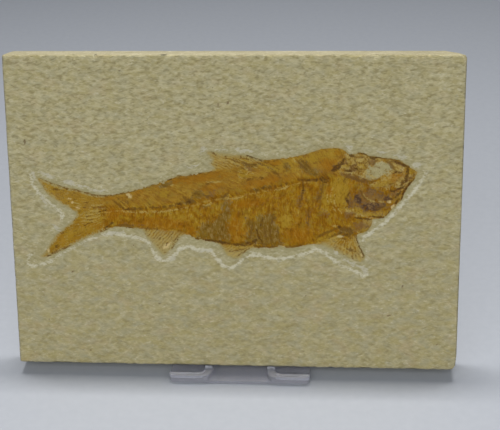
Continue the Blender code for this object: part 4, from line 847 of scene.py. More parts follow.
# ---- meshes -------------------------------------------------------------------------------------------
FACE_STEP = 0.6  # between the points of the face's grid, in millimetres
FACE_FINE_STEP = 0.42  # and where the fish and its hollow are
AROUND_FISH = ((-72.0, 64.0), (-23.0, 26.0))  # across and up
SIDE_DEPTHS = (0.3, 0.8, 1.7, 2.9, 4.2, 5.6, 7.0, 8.4, 9.3, 9.75)  # of the rings of points down the sides
SAW_MARK = 0.03
BACK_WEAR = 0.22  # how far the rear edge is rubbed in
BACK_WEAR_DEPTH = 9.2  # where that starts
BACK_RELIEF = 0.13
BACK_SWELL = (9.0, 6.0)
BACK_GAP = 0.03  # the least that lies between it and the CAD's back
BACK_STEP = 1.5
BACK_MARGINS = (1.6, 1.0)  # from the slab's edges to the back's own points, at least
BACK_SHAKE = 0.35
FISH_STEP = 0.25
FISH_UNDERSIDE = -0.6  # in the pocket under it
RIM_SHAKE = 0.2
NAPE_SHAKE = 0.25  # more of it, where the nape's edge is ragged
NAPE_SPAN = (8.0, 38.0)
NAPE_FADE = 4.0
MERGE = 1e-6  # points nearer than this are one


def add_piece(name, vertices, faces, material, marks):
    """A mesh on the slab's face, from millimetres, with its marks as attributes of its points."""
    mesh = bpy.data.meshes.new(name)
    on_slab = np.array(vertices, float)
    turn = np.array(FACE_POSE.to_3x3())
    mesh.from_pydata((on_slab * MM @ turn.T + np.array(FACE_POSE.translation)).tolist(), [], faces)
    mesh.update()
    bm = bmesh.new()
    bm.from_mesh(mesh)
    bmesh.ops.recalc_face_normals(bm, faces=bm.faces[:])
    bm.to_mesh(mesh)
    bm.free()
    for mark, values in marks.items():
        attribute = mesh.attributes.new(mark, "FLOAT", "POINT")
        filled = np.zeros(len(vertices), np.float32)
        filled[:len(values)] = values
        attribute.data.foreach_set("value", filled)
    place = mesh.attributes.new(PLACE, "FLOAT_VECTOR", "POINT")
    place.data.foreach_set("vector", on_slab.astype(np.float32).ravel())
    mesh.polygons.foreach_set("use_smooth", [True] * len(mesh.polygons))
    mesh.materials.append(material)
    piece = bpy.data.objects.new(name, mesh)
    bpy.context.scene.collection.objects.link(piece)
    return piece


def grid_lines(limit, fine):
    """Positions from -limit to limit, closer together between the two ends of fine."""
    low, high = fine
    spans = [(-limit, low, FACE_STEP), (low, high, FACE_FINE_STEP), (high, limit, FACE_STEP)]
    lines = [np.linspace(a, b, round((b - a) / step), endpoint=False) for a, b, step in spans]
    return np.append(np.concatenate(lines), limit)


def grid_faces(columns, rows):
    """The squares of a grid whose points are numbered row by row."""
    return [(j * columns + i, j * columns + i + 1, (j + 1) * columns + i + 1, (j + 1) * columns + i)
            for j in range(rows - 1) for i in range(columns - 1)]


def grid_rim(columns, rows):
    """The grid's outer points in order, from its first corner and along its first row."""
    first_row = list(range(columns))
    last_column = [j * columns + columns - 1 for j in range(1, rows)]
    last_row = [(rows - 1) * columns + i for i in range(columns - 2, -1, -1)]
    first_column = [j * columns for j in range(rows - 2, 0, -1)]
    return first_row + last_column + last_row + first_column


def band_faces(above, below):
    """The squares between two closed rings of points."""
    count = len(above)
    return [(above[i], above[(i + 1) % count], below[(i + 1) % count], below[i]) for i in range(count)]


def filled(rim, inner):
    """(points, triangles) that fill the rim, with its own points first."""
    made = delaunay_2d_cdt([Vector(p) for p in np.vstack([rim, inner])], [], [list(range(len(rim)))], 1,
                           MERGE)
    return np.array([tuple(p) for p in made[0]]), made[2]


def broken_corners(points, to_rear=0.0):
    """The points, drawn in at the four corners where bits have broken off, from the face to the rear."""
    out = points.copy()
    for corner, chip in CORNER_CHIPS.items():
        chip = np.array(chip) * (1 - to_rear) + np.array(REAR_CHIPS[corner]) * to_rear
        away = np.sum((HALF - points * corner) / chip, axis=1)
        share = np.clip(1.0 - away / 2, 0.0, 1.0) / 2
        out -= share[:, None] * chip * corner
    return out


def side_ring(square, tops, depth, level):
    """The ring of points at that depth down the sawn sides: at level 0 it follows the face's rim, and from
    level 1 on it lies flat."""
    rim = broken_corners(square, depth / SLAB_THICKNESS)
    height = tops + (-depth - tops) * min(1.0, level)
    # The saw's marks are longer along the side than down it.
    sawn_place = np.column_stack([rim.sum(axis=1) * 0.6, np.full(len(rim), depth * 3)])
    sawn = SAW_MARK + SAW_MARK * lumps(sawn_place, (2.0, 2.0), 121)
    wear = BACK_WEAR * smooth((depth - BACK_WEAR_DEPTH) / 0.6) * (1 + 0.6 * lumps(rim, (3.0, 3.0), 122))
    inwards = -np.sign(square) * np.isclose(np.abs(square), HALF)
    return np.column_stack([rim + inwards * (sawn + wear)[:, None], height])


def back_points():
    """Points over the back, a little off a square grid."""
    near, far = BACK_MARGINS
    across, up = [np.arange(-half + near, half - far, BACK_STEP) for half in HALF]
    grid = np.array([(x, y) for y in up for x in across])
    return grid + BACK_SHAKE * np.column_stack([lumps(grid, (1.1, 1.1), seed) for seed in (131, 132)])


def slab_marks(points, from_edge, tops):
    """Every mark on the stone's face as a value at each point: most are from 0 to 1."""
    into_hollow = signed_distance(shaken(points, 0.3, 1.2, 151), HOLLOW_EDGE, 8.0)
    uneven = 0.85 + 0.35 * lumps(points, (3.2, 3.2), 155)
    return {
        "line": smooth(1.1 - np.abs(into_hollow) / 0.95) * scribed_share(points) * uneven,
        "stain": smooth(1.0 + signed_distance(points, OUTLINE, 3.0) / 0.9),
        "halo": smooth(0.5 + into_hollow / 1.4),
        "white": ovals_mask(shaken(points, 0.6, 2.0, 161), WHITE_PATCHES, soft=1.0),
        "speck": ovals_mask(shaken(points, 0.15, 0.8, 171), SPECKS, soft=0.7),
        # the face's height, which the painted shading uses to make higher places paler
        "height": 0.5 + tops / 0.5,
        "face": smooth(from_edge / 0.25),
        # how far up the face, which the painted light and shading follow
        "upward": 0.5 + 0.5 * points[:, 1] / HALF[1],
    }


def build_slab(material):
    """The plate: a split face, four sawn sides and a rough back."""
    across, up = [grid_lines(half, fine) for half, fine in zip(HALF, AROUND_FISH)]
    points = np.array([(x, y) for y in up for x in across])
    from_edge = np.min(HALF - np.abs(points), axis=1)
    below_top = (HALF[1] - points[:, 1]) / math.tan(LEAN) - TOP_ARRIS
    tops = np.minimum(stone_height(points) - worn_edge(points, from_edge), below_top)
    verts = [np.column_stack([broken_corners(points), tops])]
    faces = grid_faces(len(across), len(up))
    rim = grid_rim(len(across), len(up))
    above = rim
    for k, depth in enumerate(SIDE_DEPTHS):
        first = sum(map(len, verts))
        verts.append(side_ring(points[rim], tops[rim], depth, (k + 1) / 3))
        below = list(range(first, first + len(rim)))
        faces += band_faces(above, below)
        above = below
    flat, back_faces = filled(verts[-1][:, :2], back_points())
    count = len(rim)
    relief = np.abs(BACK_RELIEF * rough(flat, BACK_SWELL, 141, 3)) + BACK_GAP
    back_level = -SLAB_THICKNESS + relief
    first = sum(map(len, verts)) - count
    number = [above[i] if i < count else first + i for i in range(len(flat))]
    verts.append(np.column_stack([flat[count:], back_level[count:]]))
    faces += [tuple(number[i] for i in face) for face in back_faces]
    return add_piece("slab", np.vstack(verts), faces, material, slab_marks(points, from_edge, tops))


def fish_rim():
    """The fish's outline as evenly spaced points, a little shaken, and more so along the ragged nape."""
    rim = []
    for a, b in zip(OUTLINE, np.roll(OUTLINE, -1, axis=0)):
        count = max(1, round(np.hypot(*(b - a)) / FISH_STEP))
        rim += [a + (b - a) * i / count for i in range(count)]
    rim = np.array(rim)
    start, end = NAPE_SPAN
    nape = smooth((rim[:, 0] - start) / NAPE_FADE) * smooth((end - rim[:, 0]) / NAPE_FADE)
    nape *= rim[:, 1] > 12.0  # and not the belly under it
    return shaken(rim, (RIM_SHAKE + NAPE_SHAKE * nape)[:, None], 1.1, 201)


def points_within(rim):
    """Points inside the rim in rows, every second row half a step along."""
    low, high = rim.min(axis=0), rim.max(axis=0)
    rows = np.arange(low[1], high[1], FISH_STEP * math.sqrt(0.75))
    inner = np.array([(x, y) for k, y in enumerate(rows)
                      for x in np.arange(low[0] + FISH_STEP / 2 * (k % 2), high[0], FISH_STEP)])
    return inner[signed_distance(inner, rim, 3.0) > 0.6 * FISH_STEP]


def build_fish(material):
    """The fossil: skin and bone in relief, with a side and a flat underside in the stone's pocket."""
    rim = fish_rim()
    flat, faces = filled(rim, points_within(rim))
    marks = fossil_marks(flat)
    count = len(rim)
    verts = np.vstack([np.column_stack([flat, fossil_height(flat, marks)]),
                       np.column_stack([flat[:count], np.full(count, FISH_UNDERSIDE)])])
    under = [len(flat) + i for i in range(count)]
    faces = [*map(tuple, faces), *band_faces(range(count), under), tuple(under)]
    return add_piece("fish", verts, faces, material, marks)


# ---- materials ----------------------------------------------------------------------------------------
FACE_LIGHT = (0.69, 0.71, 0.79)  # red, green and blue light on the face, where 1 shows paint as it is

# The stone's shades.
# the dark and pale ends of the painted shading on the split face, with some of the stone's own tone
STONE_DARK_AND_SHADED = (132, 123, 88)
STONE_PALE_AND_LIT = (189, 181, 148)
STONE_GREY = (153, 149, 127)
STONE_YELLOW = (155, 144, 99)
STONE_COOL = (150, 149, 131)
STONE_PINK = (161, 143, 112)
# painted light: paler stone laid over the upper part of the face
STONE_TOP_PAINTED_LIGHT = (174, 167, 133)
# painted shade in the face's creases and painted highlight on its ridges
CREASE_PAINTED_SHADE = (120, 110, 76)
RIDGE_PAINTED_HIGHLIGHT = (181, 174, 144)
SAWN_STONE = ((0.0, (132, 126, 104)), (0.5, (153, 147, 124)), (1.0, (168, 163, 142)))
SCRAPED_DARK = (145, 137, 103)
SCRAPED_PALE = (168, 161, 130)
STAINED_STONE = (143, 124, 72)  # beside the fish
CRUSHED_STONE = (191, 187, 169)  # along the scribed line
WHITE_STONE = (178, 174, 159)
SPECK = (92, 70, 42)

# The fossil's shades; those with several stops run from dark to pale.
SKIN = ((0.0, (98, 62, 4)), (0.34, (126, 86, 8)), (0.55, (140, 103, 16)), (0.75, (151, 117, 28)),
        (1.0, (165, 138, 62)))
SKIN_ORANGE = (142, 94, 8)
SKIN_OLIVE = (134, 112, 36)
SKIN_BROWN = (138, 104, 56)
SKIN_BACK = (156, 127, 62)
BONE = ((0.0, (114, 88, 42)), (0.22, (145, 119, 58)), (0.5, (164, 143, 82)), (1.0, (179, 165, 118)))
GOLD = (152, 123, 38)
RUST = (141, 90, 6)
RIB = (154, 118, 38)
GLINT = (164, 132, 58)
STROKE = (98, 66, 16)
LILAC_FILM = (116, 88, 56)
WORN_SKIN = ((0.0, (82, 60, 18)), (0.35, (105, 82, 26)), (0.65, (118, 94, 44)), (1.0, (136, 115, 72)))
SKULL_CRACK = (100, 72, 30)
FIN_SKIN = (150, 119, 38)
FIN_MEMBRANE = (154, 139, 92)
RAY_PALE = (168, 151, 94)
RAY_DARK = (103, 76, 26)
BACKBONE_SHADE = (160, 130, 62)
JOINT = (98, 68, 22)
VIOLET_FILM = ((0.0, (54, 41, 37)), (0.45, (79, 59, 45)), (1.0, (124, 97, 60)))
SOCKET_STONE = ((0.0, (132, 118, 74)), (0.35, (150, 141, 104)), (1.0, (168, 160, 124)))
RIM_SHADE = (100, 74, 18)
FIN_MARGIN = (152, 141, 98)
PALE_BONE = (166, 144, 82)
CREAM_BONE = (186, 167, 120)
BROWN_BONE = (98, 69, 24)
INK = ((0.0, (56, 34, 10)), (1.0, (92, 64, 26)))


def on_face(*colour):
    """The reflectance that looks like this sRGB colour, from 0 to 255, on the lit face."""
    parts = [c / 255 for c in colour]
    linear = [p / 12.92 if p <= 0.04045 else ((p + 0.055) / 1.055) ** 2.4 for p in parts]
    return tuple(value / light for value, light in zip(linear, FACE_LIGHT))


class Finish:
    """A material being made: its nodes, and the place on the slab or the object in millimetres."""

    def __init__(self, name, roughness, on_slab=False):
        self.material = bpy.data.materials.new(name)
        self.material.use_nodes = True
        self.tree = self.material.node_tree
        self.shader = self.tree.nodes["Principled BSDF"]
        self.shader.inputs["Roughness"].default_value = roughness
        if on_slab:
            self.place = self.add("ShaderNodeAttribute", attribute_name=PLACE).outputs["Vector"]
        else:
            self.place = self.add("ShaderNodeMapping", {
                "Vector": self.add("ShaderNodeTexCoord").outputs["Object"],
                "Scale": (1 / MM, 1 / MM, 1 / MM)}).outputs[0]

    def add(self, kind, inputs=None, **settings):
        """A node with its settings, and its inputs given as values or as other nodes' outputs."""
        made = self.tree.nodes.new(kind)
        for key, value in settings.items():
            setattr(made, key, value)
        for key, value in (inputs or {}).items():
            if isinstance(value, bpy.types.NodeSocket):
                self.tree.links.new(value, made.inputs[key])
            else:
                made.inputs[key].default_value = value
        return made

    def noise(self, size, detail, stretch=(1.0, 1.0, 1.0), roughness=0.5, offset=0.0, place=None,
              turn=0.0, distortion=0.0):
        """Noise about 0 with lumps of about that size in millimetres, longer along the stretch, which is
        turned by that many degrees on the face."""
        place = place or self.place
        if turn:
            place = self.add("ShaderNodeVectorRotate", {"Vector": place, "Angle": math.radians(-turn)},
                             rotation_type="Z_AXIS").outputs[0]
        scale = tuple(1.0 / (size * s) for s in stretch)
        place = self.add("ShaderNodeMapping", {"Vector": place, "Scale": scale,
                                               "Location": (offset, offset, offset)}).outputs[0]
        made = self.add("ShaderNodeTexNoise", {"Vector": place, "Scale": 1.0, "Detail": detail,
                                               "Roughness": roughness, "Distortion": distortion})
        return self.add("ShaderNodeMath", {0: made.outputs["Fac"], 1: 0.5},
                        operation="SUBTRACT").outputs[0]

    def veins(self, size, width, detail=1.0, **settings):
        """1 along fine winding lines that lie about that size apart."""
        away = self.add("ShaderNodeMath", {0: self.noise(size, detail, **settings)}, operation="ABSOLUTE")
        return self.between(away.outputs[0], width / size, 0.0)

    def attribute(self, name):
        """The mesh's mark of that name."""
        return self.add("ShaderNodeAttribute", attribute_name=name).outputs["Fac"]

    def sum(self, *terms):
        """The sum of terms, each a socket or (socket, factor)."""
        total = None
        for term in terms:
            socket, factor = term if isinstance(term, tuple) else (term, 1.0)
            if total is None:
                total = self.add("ShaderNodeMath", {0: socket, 1: factor},
                                 operation="MULTIPLY").outputs[0]
            else:
                total = self.add("ShaderNodeMath", {0: socket, 1: factor, 2: total},
                                 operation="MULTIPLY_ADD").outputs[0]
        return total

    def times(self, first, second):
        """The product of two values."""
        return self.add("ShaderNodeMath", {0: first, 1: second}, operation="MULTIPLY").outputs[0]

    def between(self, value, low, high, to_low=0.0, to_high=1.0):
        """The value's place between low and high, with a smooth start and end."""
        return self.add("ShaderNodeMapRange", {"Value": value, "From Min": low, "From Max": high,
                                               "To Min": to_low, "To Max": to_high},
                        interpolation_type="SMOOTHSTEP").outputs["Result"]

    def ramp(self, stops, reach, *terms):
        """A colour from the stops, each (place, sRGB colour), picked by the sum of the terms, from minus
        the reach to the reach."""
        value = self.add("ShaderNodeMapRange", {"Value": self.sum(*terms), "From Min": -reach,
                                                "From Max": reach}).outputs["Result"]
        made = self.add("ShaderNodeValToRGB", {"Fac": value})
        band = made.color_ramp
        for _ in stops[2:]:
            band.elements.new(0.5)
        for element, (place, shade) in zip(band.elements, stops):
            element.position = place
            element.color = (*on_face(*shade), 1.0)
        return made.outputs[0]

    def mix(self, share, first, second):
        """The first colour, with that share of the second; each is reflectances or a socket."""
        made = self.add("ShaderNodeMix", data_type="RGBA")
        for key, value in (("Factor", share), (6, first), (7, second)):
            if isinstance(value, bpy.types.NodeSocket):
                self.tree.links.new(value, made.inputs[key])
            elif key == "Factor":
                made.inputs[0].default_value = value
            else:
                made.inputs[key].default_value = (*value, 1.0)
        return made.outputs[2]

    def paint(self, colour, shade, share):
        """The colour, with that share of the shade over it; the shade is an sRGB colour or a socket."""
        if not isinstance(shade, bpy.types.NodeSocket):
            shade = on_face(*shade)
        return self.mix(share, colour, shade)

    def over(self, colour, shade, value, low, high, strength):
        """The colour, painted with the shade up to that strength as the value goes from low to high."""
        return self.paint(colour, shade, self.between(value, low, high, 0.0, strength))

    def finish(self, colour, bump=None, depth=0.0):
        """The material, with that colour and a bump that stands as high as the depth in millimetres."""
        self.tree.links.new(colour, self.shader.inputs["Base Color"])
        if bump is not None:
            made = self.add("ShaderNodeBump", {"Height": bump, "Distance": depth * MM, "Strength": 1.0})
            self.tree.links.new(made.outputs[0], self.shader.inputs["Normal"])
        return self.material


class Stone(Finish):
    """Pale limestone, with the noises that its parts share."""

    def __init__(self):
        super().__init__("limestone", 0.92, on_slab=True)
        self.shader.inputs["Specular IOR Level"].default_value = 0.2
        self.lumpy = self.lumps_at(self.place)
        self.waves = self.noise(2.1, 2.0, (1.5, 0.8, 1.0), offset=41.0, distortion=0.8)
        self.blotch = self.noise(6.0, 2.0, (1.3, 0.9, 1.0), offset=5.0)
        self.warmth = self.noise(3.6, 3.0, (1.3, 0.8, 1.0), offset=11.0)
        self.fine = self.noise(0.42, 2.0, (1.7, 0.8, 1.0), roughness=0.6, offset=21.0)
        self.upward = self.attribute("upward")

    def lumps_at(self, place):
        """Flaky lumps: some rise to the right and some fall."""
        way = self.between(self.noise(2.6, 1.0, (1.3, 1.0, 1.0), offset=71.0), -0.08, 0.08)
        rising = self.noise(0.95, 1.0, (2.5, 0.85, 1.0), turn=16.0, distortion=0.2, place=place)
        falling = self.noise(0.95, 1.0, (2.5, 0.85, 1.0), offset=61.0, turn=-18.0, distortion=0.2,
                             place=place)
        return self.sum(rising, self.times(way, self.sum(falling, (rising, -1.0))))

    def split_face(self):
        """The natural face, with painted shading: each lump is painted pale above and dark below, as under
        light from above.
        """
        # painted shading: the lumps less a copy of them set higher up the face, and higher places painted
        # paler
        above = self.add("ShaderNodeVectorMath", {0: self.place, 1: (0.0, 1.15, 0.0)}, operation="ADD")
        lit = self.sum(self.lumpy, (self.lumps_at(above.outputs[0]), -0.65))
        relief = self.sum((lit, 0.72), (self.waves, 0.3), (self.fine, 0.24),
                          (self.attribute("height"), 0.3))
        # the painted shading is stronger towards the top of the face
        tone = self.sum(self.times(self.between(self.upward, 0.1, 0.75, 0.78, 1.05), relief),
                        (self.blotch, 0.1))
        cool = self.noise(1.7, 2.0, (1.3, 0.9, 1.0), offset=81.0)
        # painted shading: dark stone stands for shaded stone and pale stone for lit stone
        colour = self.mix(self.between(tone, -0.35, 0.8), on_face(*STONE_DARK_AND_SHADED), on_face(*STONE_PALE_AND_LIT))
        colour = self.over(colour, STONE_GREY, self.warmth, -0.02, 0.16, strength=0.52)
        colour = self.over(colour, STONE_YELLOW, self.warmth, 0.0, -0.16, strength=0.52)
        colour = self.over(colour, STONE_COOL, cool, 0.08, 0.22, strength=0.4)
        colour = self.over(colour, STONE_PINK, self.blotch, 0.02, 0.22, strength=0.36)
        # painted light: the face painted paler towards its top
        return self.over(colour, STONE_TOP_PAINTED_LIGHT, self.upward, 0.0, 1.0, strength=0.22)

    def painted_crease_shading(self, colour):
        """Painted shade in dark creases and painted highlight on pale ridges, each in their own patches and
        clearer towards the top.
        """
        # the painted shade and highlight are stronger towards the top of the face
        steep = self.between(self.upward, 0.2, 0.8, 0.25, 0.55)
        broken = self.noise(1.6, 1.0, (1.5, 0.8, 1.0), offset=101.0)
        for shade, width, turn, offset, low, high in ((CREASE_PAINTED_SHADE, 0.14, 10.0, 111.0, -0.02, 0.1),
                                                      (RIDGE_PAINTED_HIGHLIGHT, 0.16, -10.0, 121.0, 0.02, -0.1)):
            lines = self.veins(1.3, width, stretch=(2.8, 0.8, 1.0), turn=turn, offset=offset,
                               distortion=0.3)
            lines = self.times(lines, self.between(broken, low, high))
            colour = self.paint(colour, shade, self.times(lines, steep))
        return colour

    def sawn_beside(self, colour):
        """The colour on the face, and sawn stone with its level layers on the sides and back."""
        layers = self.noise(0.55, 2.0, (40.0, 40.0, 1.0), offset=91.0)
        sawn = self.ramp(SAWN_STONE, 0.3, (self.fine, 0.6), (self.lumpy, 0.4), (self.warmth, 0.4),
                         (layers, 0.9))
        return self.mix(self.attribute("face"), sawn, colour)

    def prepared(self, colour):
        """The scraped hollow, the brown stain by the fish, the crushed line, white patches and specks."""
        tone = self.sum((self.fine, 0.8), (self.lumpy, 0.7), (self.waves, 0.3))
        scraped = self.mix(self.between(tone, -0.2, 0.2), on_face(*SCRAPED_DARK), on_face(*SCRAPED_PALE))
        colour = self.mix(self.times(self.attribute("halo"), 0.65), colour, scraped)
        stain = self.sum(self.attribute("stain"), (self.fine, 1.2), self.lumpy)
        colour = self.over(colour, STAINED_STONE, stain, 0.55, 1.3, strength=0.5)
        crushed = self.sum(self.attribute("line"), (self.fine, 1.9), (self.lumpy, 0.9), (self.waves, 1.1))
        colour = self.over(colour, CRUSHED_STONE, crushed, 0.1, 1.1, strength=0.95)
        white = self.sum(self.attribute("white"), (self.fine, 1.6), (self.lumpy, 1.2))
        colour = self.over(colour, WHITE_STONE, white, 0.3, 1.1, strength=0.75)
        speck = self.sum(self.attribute("speck"), (self.fine, 1.5))
        return self.over(colour, SPECK, speck, 0.35, 0.9, strength=0.7)


def limestone():
    """The slab's stone: split in front, sawn at the sides, and worked round the fish."""
    make = Stone()
    colour = make.prepared(make.sawn_beside(make.painted_crease_shading(make.split_face())))
    bump = make.sum((make.lumpy, 0.8), (make.waves, 0.8), (make.fine, 0.35), (make.noise(0.25, 2.0), 0.2))
    return make.finish(colour, bump, 0.45)


class Fossil(Finish):
    """Golden skin and brown bone, with the noises that its parts share."""

    def __init__(self):
        super().__init__("fossil_skin_and_bone", 0.7, on_slab=True)
        self.shader.inputs["Specular IOR Level"].default_value = 0.08
        self.broad = self.noise(4.5, 2.0, (1.3, 0.9, 1.0))
        self.patchy = self.noise(1.5, 2.0, (1.1, 1.0, 1.0), offset=3.0)
        self.fine = self.noise(0.5, 2.0, roughness=0.6, offset=7.0)
        self.hue = self.noise(2.4, 2.0, offset=17.0)
        self.tinge = self.noise(0.9, 2.0, offset=57.0)
        self.grain = self.add("ShaderNodeCombineXYZ", {"X": self.attribute("across"),
                                                       "Y": self.attribute("along")}).outputs[0]
        self.streaks = self.noise(0.45, 2.0, (1.0, 5.0, 1.0), offset=1.0, place=self.grain)
        self.strokes = self.veins(1.1, 0.085, stretch=(1.0, 4.5, 1.0), offset=13.0, place=self.grain)
        self.fin = self.attribute("fin")

    def stained(self, colour, mark, shade, strength, soft, loose=1.0, middle=0.5):
        """The colour, with the shade where the mark is set, its edge broken up by the grain."""
        drawn = self.attribute(mark)
        value = self.sum(drawn, (self.fine, 2.4 * loose), (self.patchy, 1.6 * loose),
                         (self.streaks, 1.1 * loose))
        share = self.between(value, middle - soft, middle + soft, 0.0, strength)
        return self.paint(colour, shade, self.times(share, self.between(drawn, 0.0, 0.2)))

    def skin(self):
        """Golden brown skin with scattered orange, olive and dull patches, paler along the back."""
        bands = self.noise(1.3, 2.0, (1.0, 3.0, 1.0), offset=9.0, place=self.grain)
        colour = self.ramp(SKIN, 0.46, (self.broad, 0.75), (self.patchy, 0.7), (self.fine, 0.55),
                           (self.streaks, 1.1), (bands, 0.8))
        colour = self.over(colour, SKIN_ORANGE, self.hue, 0.02, 0.2, strength=0.5)
        colour = self.over(colour, SKIN_OLIVE, self.hue, -0.02, -0.2, strength=0.5)
        colour = self.over(colour, SKIN_BROWN, self.tinge, 0.05, 0.18, strength=0.35)
        return self.paint(colour, SKIN_BACK, self.times(self.attribute("back"), 0.28))

    def bony(self, colour):
        """The head's bone, gold and rusty skin, and the ribs that show through."""
        bone = self.ramp(BONE, 0.36, (self.patchy, 0.9), (self.fine, 1.2), (self.tinge, 0.7))
        colour = self.stained(colour, "bone", bone, strength=0.8, soft=0.4)
        colour = self.stained(colour, "gold", GOLD, strength=0.75, soft=0.4)
        colour = self.stained(colour, "rust", RUST, strength=0.55, soft=0.4)
        ribbed = self.sum((self.attribute("rib"), 0.8), (self.fine, 1.5))
        return self.over(colour, RIB, ribbed, 0.3, 1.0, strength=0.3)

    def stroked(self, colour):
        """Pale glints and dark strokes that lie along the grain."""
        glints = self.veins(1.3, 0.09, stretch=(1.0, 4.0, 1.0), offset=27.0, place=self.grain)
        shining = self.between(self.sum(self.patchy, (self.broad, 0.6)), -0.06, 0.16)
        colour = self.paint(colour, GLINT, self.times(self.times(glints, shining), 0.38))
        inked = self.between(self.sum((self.patchy, -1.0), (self.hue, 0.6)), -0.08, 0.14)
        return self.paint(colour, STROKE, self.times(self.times(self.strokes, inked), 0.4))

    def worn(self, colour):
        """The lilac film, worn skin, and the net of cracks in the skull."""
        colour = self.stained(colour, "lilac", LILAC_FILM, strength=0.75, soft=0.45, loose=1.4)
        skin = self.ramp(WORN_SKIN, 0.35, (self.streaks, 1.6), self.patchy, (self.fine, 0.8))
        colour = self.stained(colour, "worn", skin, strength=0.85, soft=0.35, loose=1.3)
        network = self.veins(1.5, 0.10, 2.0, offset=33.0)
        cracked = self.between(self.sum(self.attribute("skull"), (self.patchy, 1.6)), 0.75, 1.15)
        return self.paint(colour, SKULL_CRACK, self.times(self.times(network, cracked), 0.4))

    def finned(self, colour):
        """The fins: thin membrane that shows the stone, with pale and dark rays."""
        thin = self.sum(self.attribute("thin"), (self.patchy, 1.5), (self.fine, 0.8), (self.streaks, 0.6))
        membrane = self.paint(colour, FIN_SKIN, 0.5)
        membrane = self.over(membrane, FIN_MEMBRANE, thin, 0.05, 0.85, strength=1.0)
        rays = self.sum(self.attribute("ray"), (self.streaks, 1.8), (self.fine, 1.4), (self.patchy, 1.2))
        rayed = self.over(membrane, RAY_PALE, rays, 0.42, 0.0, strength=0.6)
        rayed = self.over(rayed, RAY_DARK, rays, 0.6, 1.1, strength=0.8)
        return self.mix(self.times(self.fin, 0.9), colour, rayed)

    def boned(self, colour):
        """The backbone and its dark joints."""
        spine = self.sum(self.attribute("spine"), (self.fine, 1.8), (self.patchy, 1.8))
        colour = self.over(colour, BACKBONE_SHADE, spine, 0.45, 1.15, strength=0.75)
        return self.stained(colour, "bead", JOINT, strength=0.65, soft=0.35)

    def filmed(self, colour):
        """The nearly black violet film, and the stone that shows in the eye's socket."""
        film = self.ramp(VIOLET_FILM, 0.3, (self.patchy, 1.4), (self.fine, 1.4))
        colour = self.stained(colour, "violet", film, strength=0.92, soft=0.3, loose=0.9, middle=0.45)
        stone = self.ramp(SOCKET_STONE, 0.35, (self.patchy, 1.2), self.fine, (self.broad, 0.6))
        return self.stained(colour, "rock", stone, strength=0.95, soft=0.35, loose=0.9, middle=0.4)

    def edged(self, colour):
        """The body's dark rim and the fins' faded margins."""
        edge = self.sum(self.attribute("edge"), (self.fine, 1.6), (self.patchy, 2.2))
        rim = self.times(self.between(edge, 0.7, 0.2, 0.0, 0.4), self.between(self.fin, 0.6, 0.2))
        colour = self.paint(colour, RIM_SHADE, rim)
        faded = self.times(self.between(edge, 1.3, 0.1, 0.0, 0.85), self.fin)
        return self.paint(colour, FIN_MARGIN, faded)

    def lined(self, colour):
        """The pale, cream, brown and black pieces of bone."""
        colour = self.stained(colour, "pale", PALE_BONE, strength=0.7, soft=0.35, loose=1.5, middle=0.6)
        colour = self.stained(colour, "cream", CREAM_BONE, strength=0.9, soft=0.4, loose=0.9)
        colour = self.stained(colour, "brown", BROWN_BONE, strength=0.72, soft=0.35, loose=1.1,
                              middle=0.55)
        scattered = self.noise(0.28, 1.0, offset=51.0)
        black = self.ramp(INK, 0.3, self.fine, scattered)
        core = self.sum(self.attribute("ink"), (self.fine, 2.4), (self.patchy, 1.6), (scattered, 1.8))
        return self.over(colour, black, core, 0.35, 1.0, strength=0.88)


def fossil():
    """The fish: skin, with each layer of bone, wear, fins and stains over the one before."""
    make = Fossil()
    colour = make.skin()
    for layer in (make.bony, make.stroked, make.worn, make.finned, make.boned, make.filmed, make.edged,
                  make.lined):
        colour = layer(colour)
    bump = make.sum((make.fine, 0.5), (make.patchy, 0.4), (make.streaks, 0.9), (make.strokes, -0.1))
    return make.finish(colour, bump, 0.2)


ACRYLIC_IOR = 1.49
ACRYLIC_CLEARNESS = 0.75  # the share of light that passes; the rest makes it milky
ACRYLIC_TINTS = ((0.90, 0.90, 1.0), (0.95, 0.95, 1.0))
RIPPLE_DEPTH = 0.02


def clear_plastic():
    """Moulded acrylic: see-through, faintly hazy, with a slight ripple in its faces."""
    make = Finish("clear_plastic", 0.05)
    make.shader.inputs["Transmission Weight"].default_value = ACRYLIC_CLEARNESS
    make.shader.inputs["IOR"].default_value = ACRYLIC_IOR
    ripple = make.noise(6.0, 1.0)
    scuffs = make.noise(0.5, 3.0, offset=3.0)
    make.tree.links.new(make.between(scuffs, 0.05, 0.3, 0.04, 0.16), make.shader.inputs["Roughness"])
    return make.finish(make.mix(make.between(scuffs, -0.2, 0.2), *ACRYLIC_TINTS), ripple, RIPPLE_DEPTH)


# ---- camera, floor and light --------------------------------------------------------------------------
CAMERA_PLACE = (35.188, 100.033, 384.121)  # from the middle of the face: across, up and out
CAMERA_TURN = (14.553, 4.311, 0.007)  # the axis it is turned about, as long as the turn's degrees
IMAGE_WIDTH = 500
FOCAL_PIXELS = 1200.0
SENSOR = 36.0
FLOOR_HALF = 3.0
FLOOR_GAP = 0.03  # under the stand's feet, in millimetres
FLOOR_SHADES = ((0.434, 0.455, 0.495), (0.454, 0.475, 0.515))
ROOM_LIGHT = (0.86, 0.92, 1.0, 1.0)
ROOM_STRENGTH = 0.16


def add_camera():
    """The camera stands above the slab and a little to its right, looking down at it."""
    turn = Vector(CAMERA_TURN)
    to_view = Matrix.Rotation(math.radians(turn.length), 3, turn)
    flip = Matrix(((1, 0, 0), (0, -1, 0), (0, 0, -1)))
    facing = (flip @ to_view @ flip).transposed()
    data = bpy.data.cameras.new("camera")
    data.sensor_width = SENSOR
    data.lens = SENSOR * FOCAL_PIXELS / IMAGE_WIDTH
    camera = bpy.data.objects.new("camera", data)
    bpy.context.scene.collection.objects.link(camera)
    place = Matrix.Translation(Vector(CAMERA_PLACE) * MM)
    camera.matrix_world = FACE_POSE @ place @ facing.to_4x4()
    bpy.context.scene.camera = camera


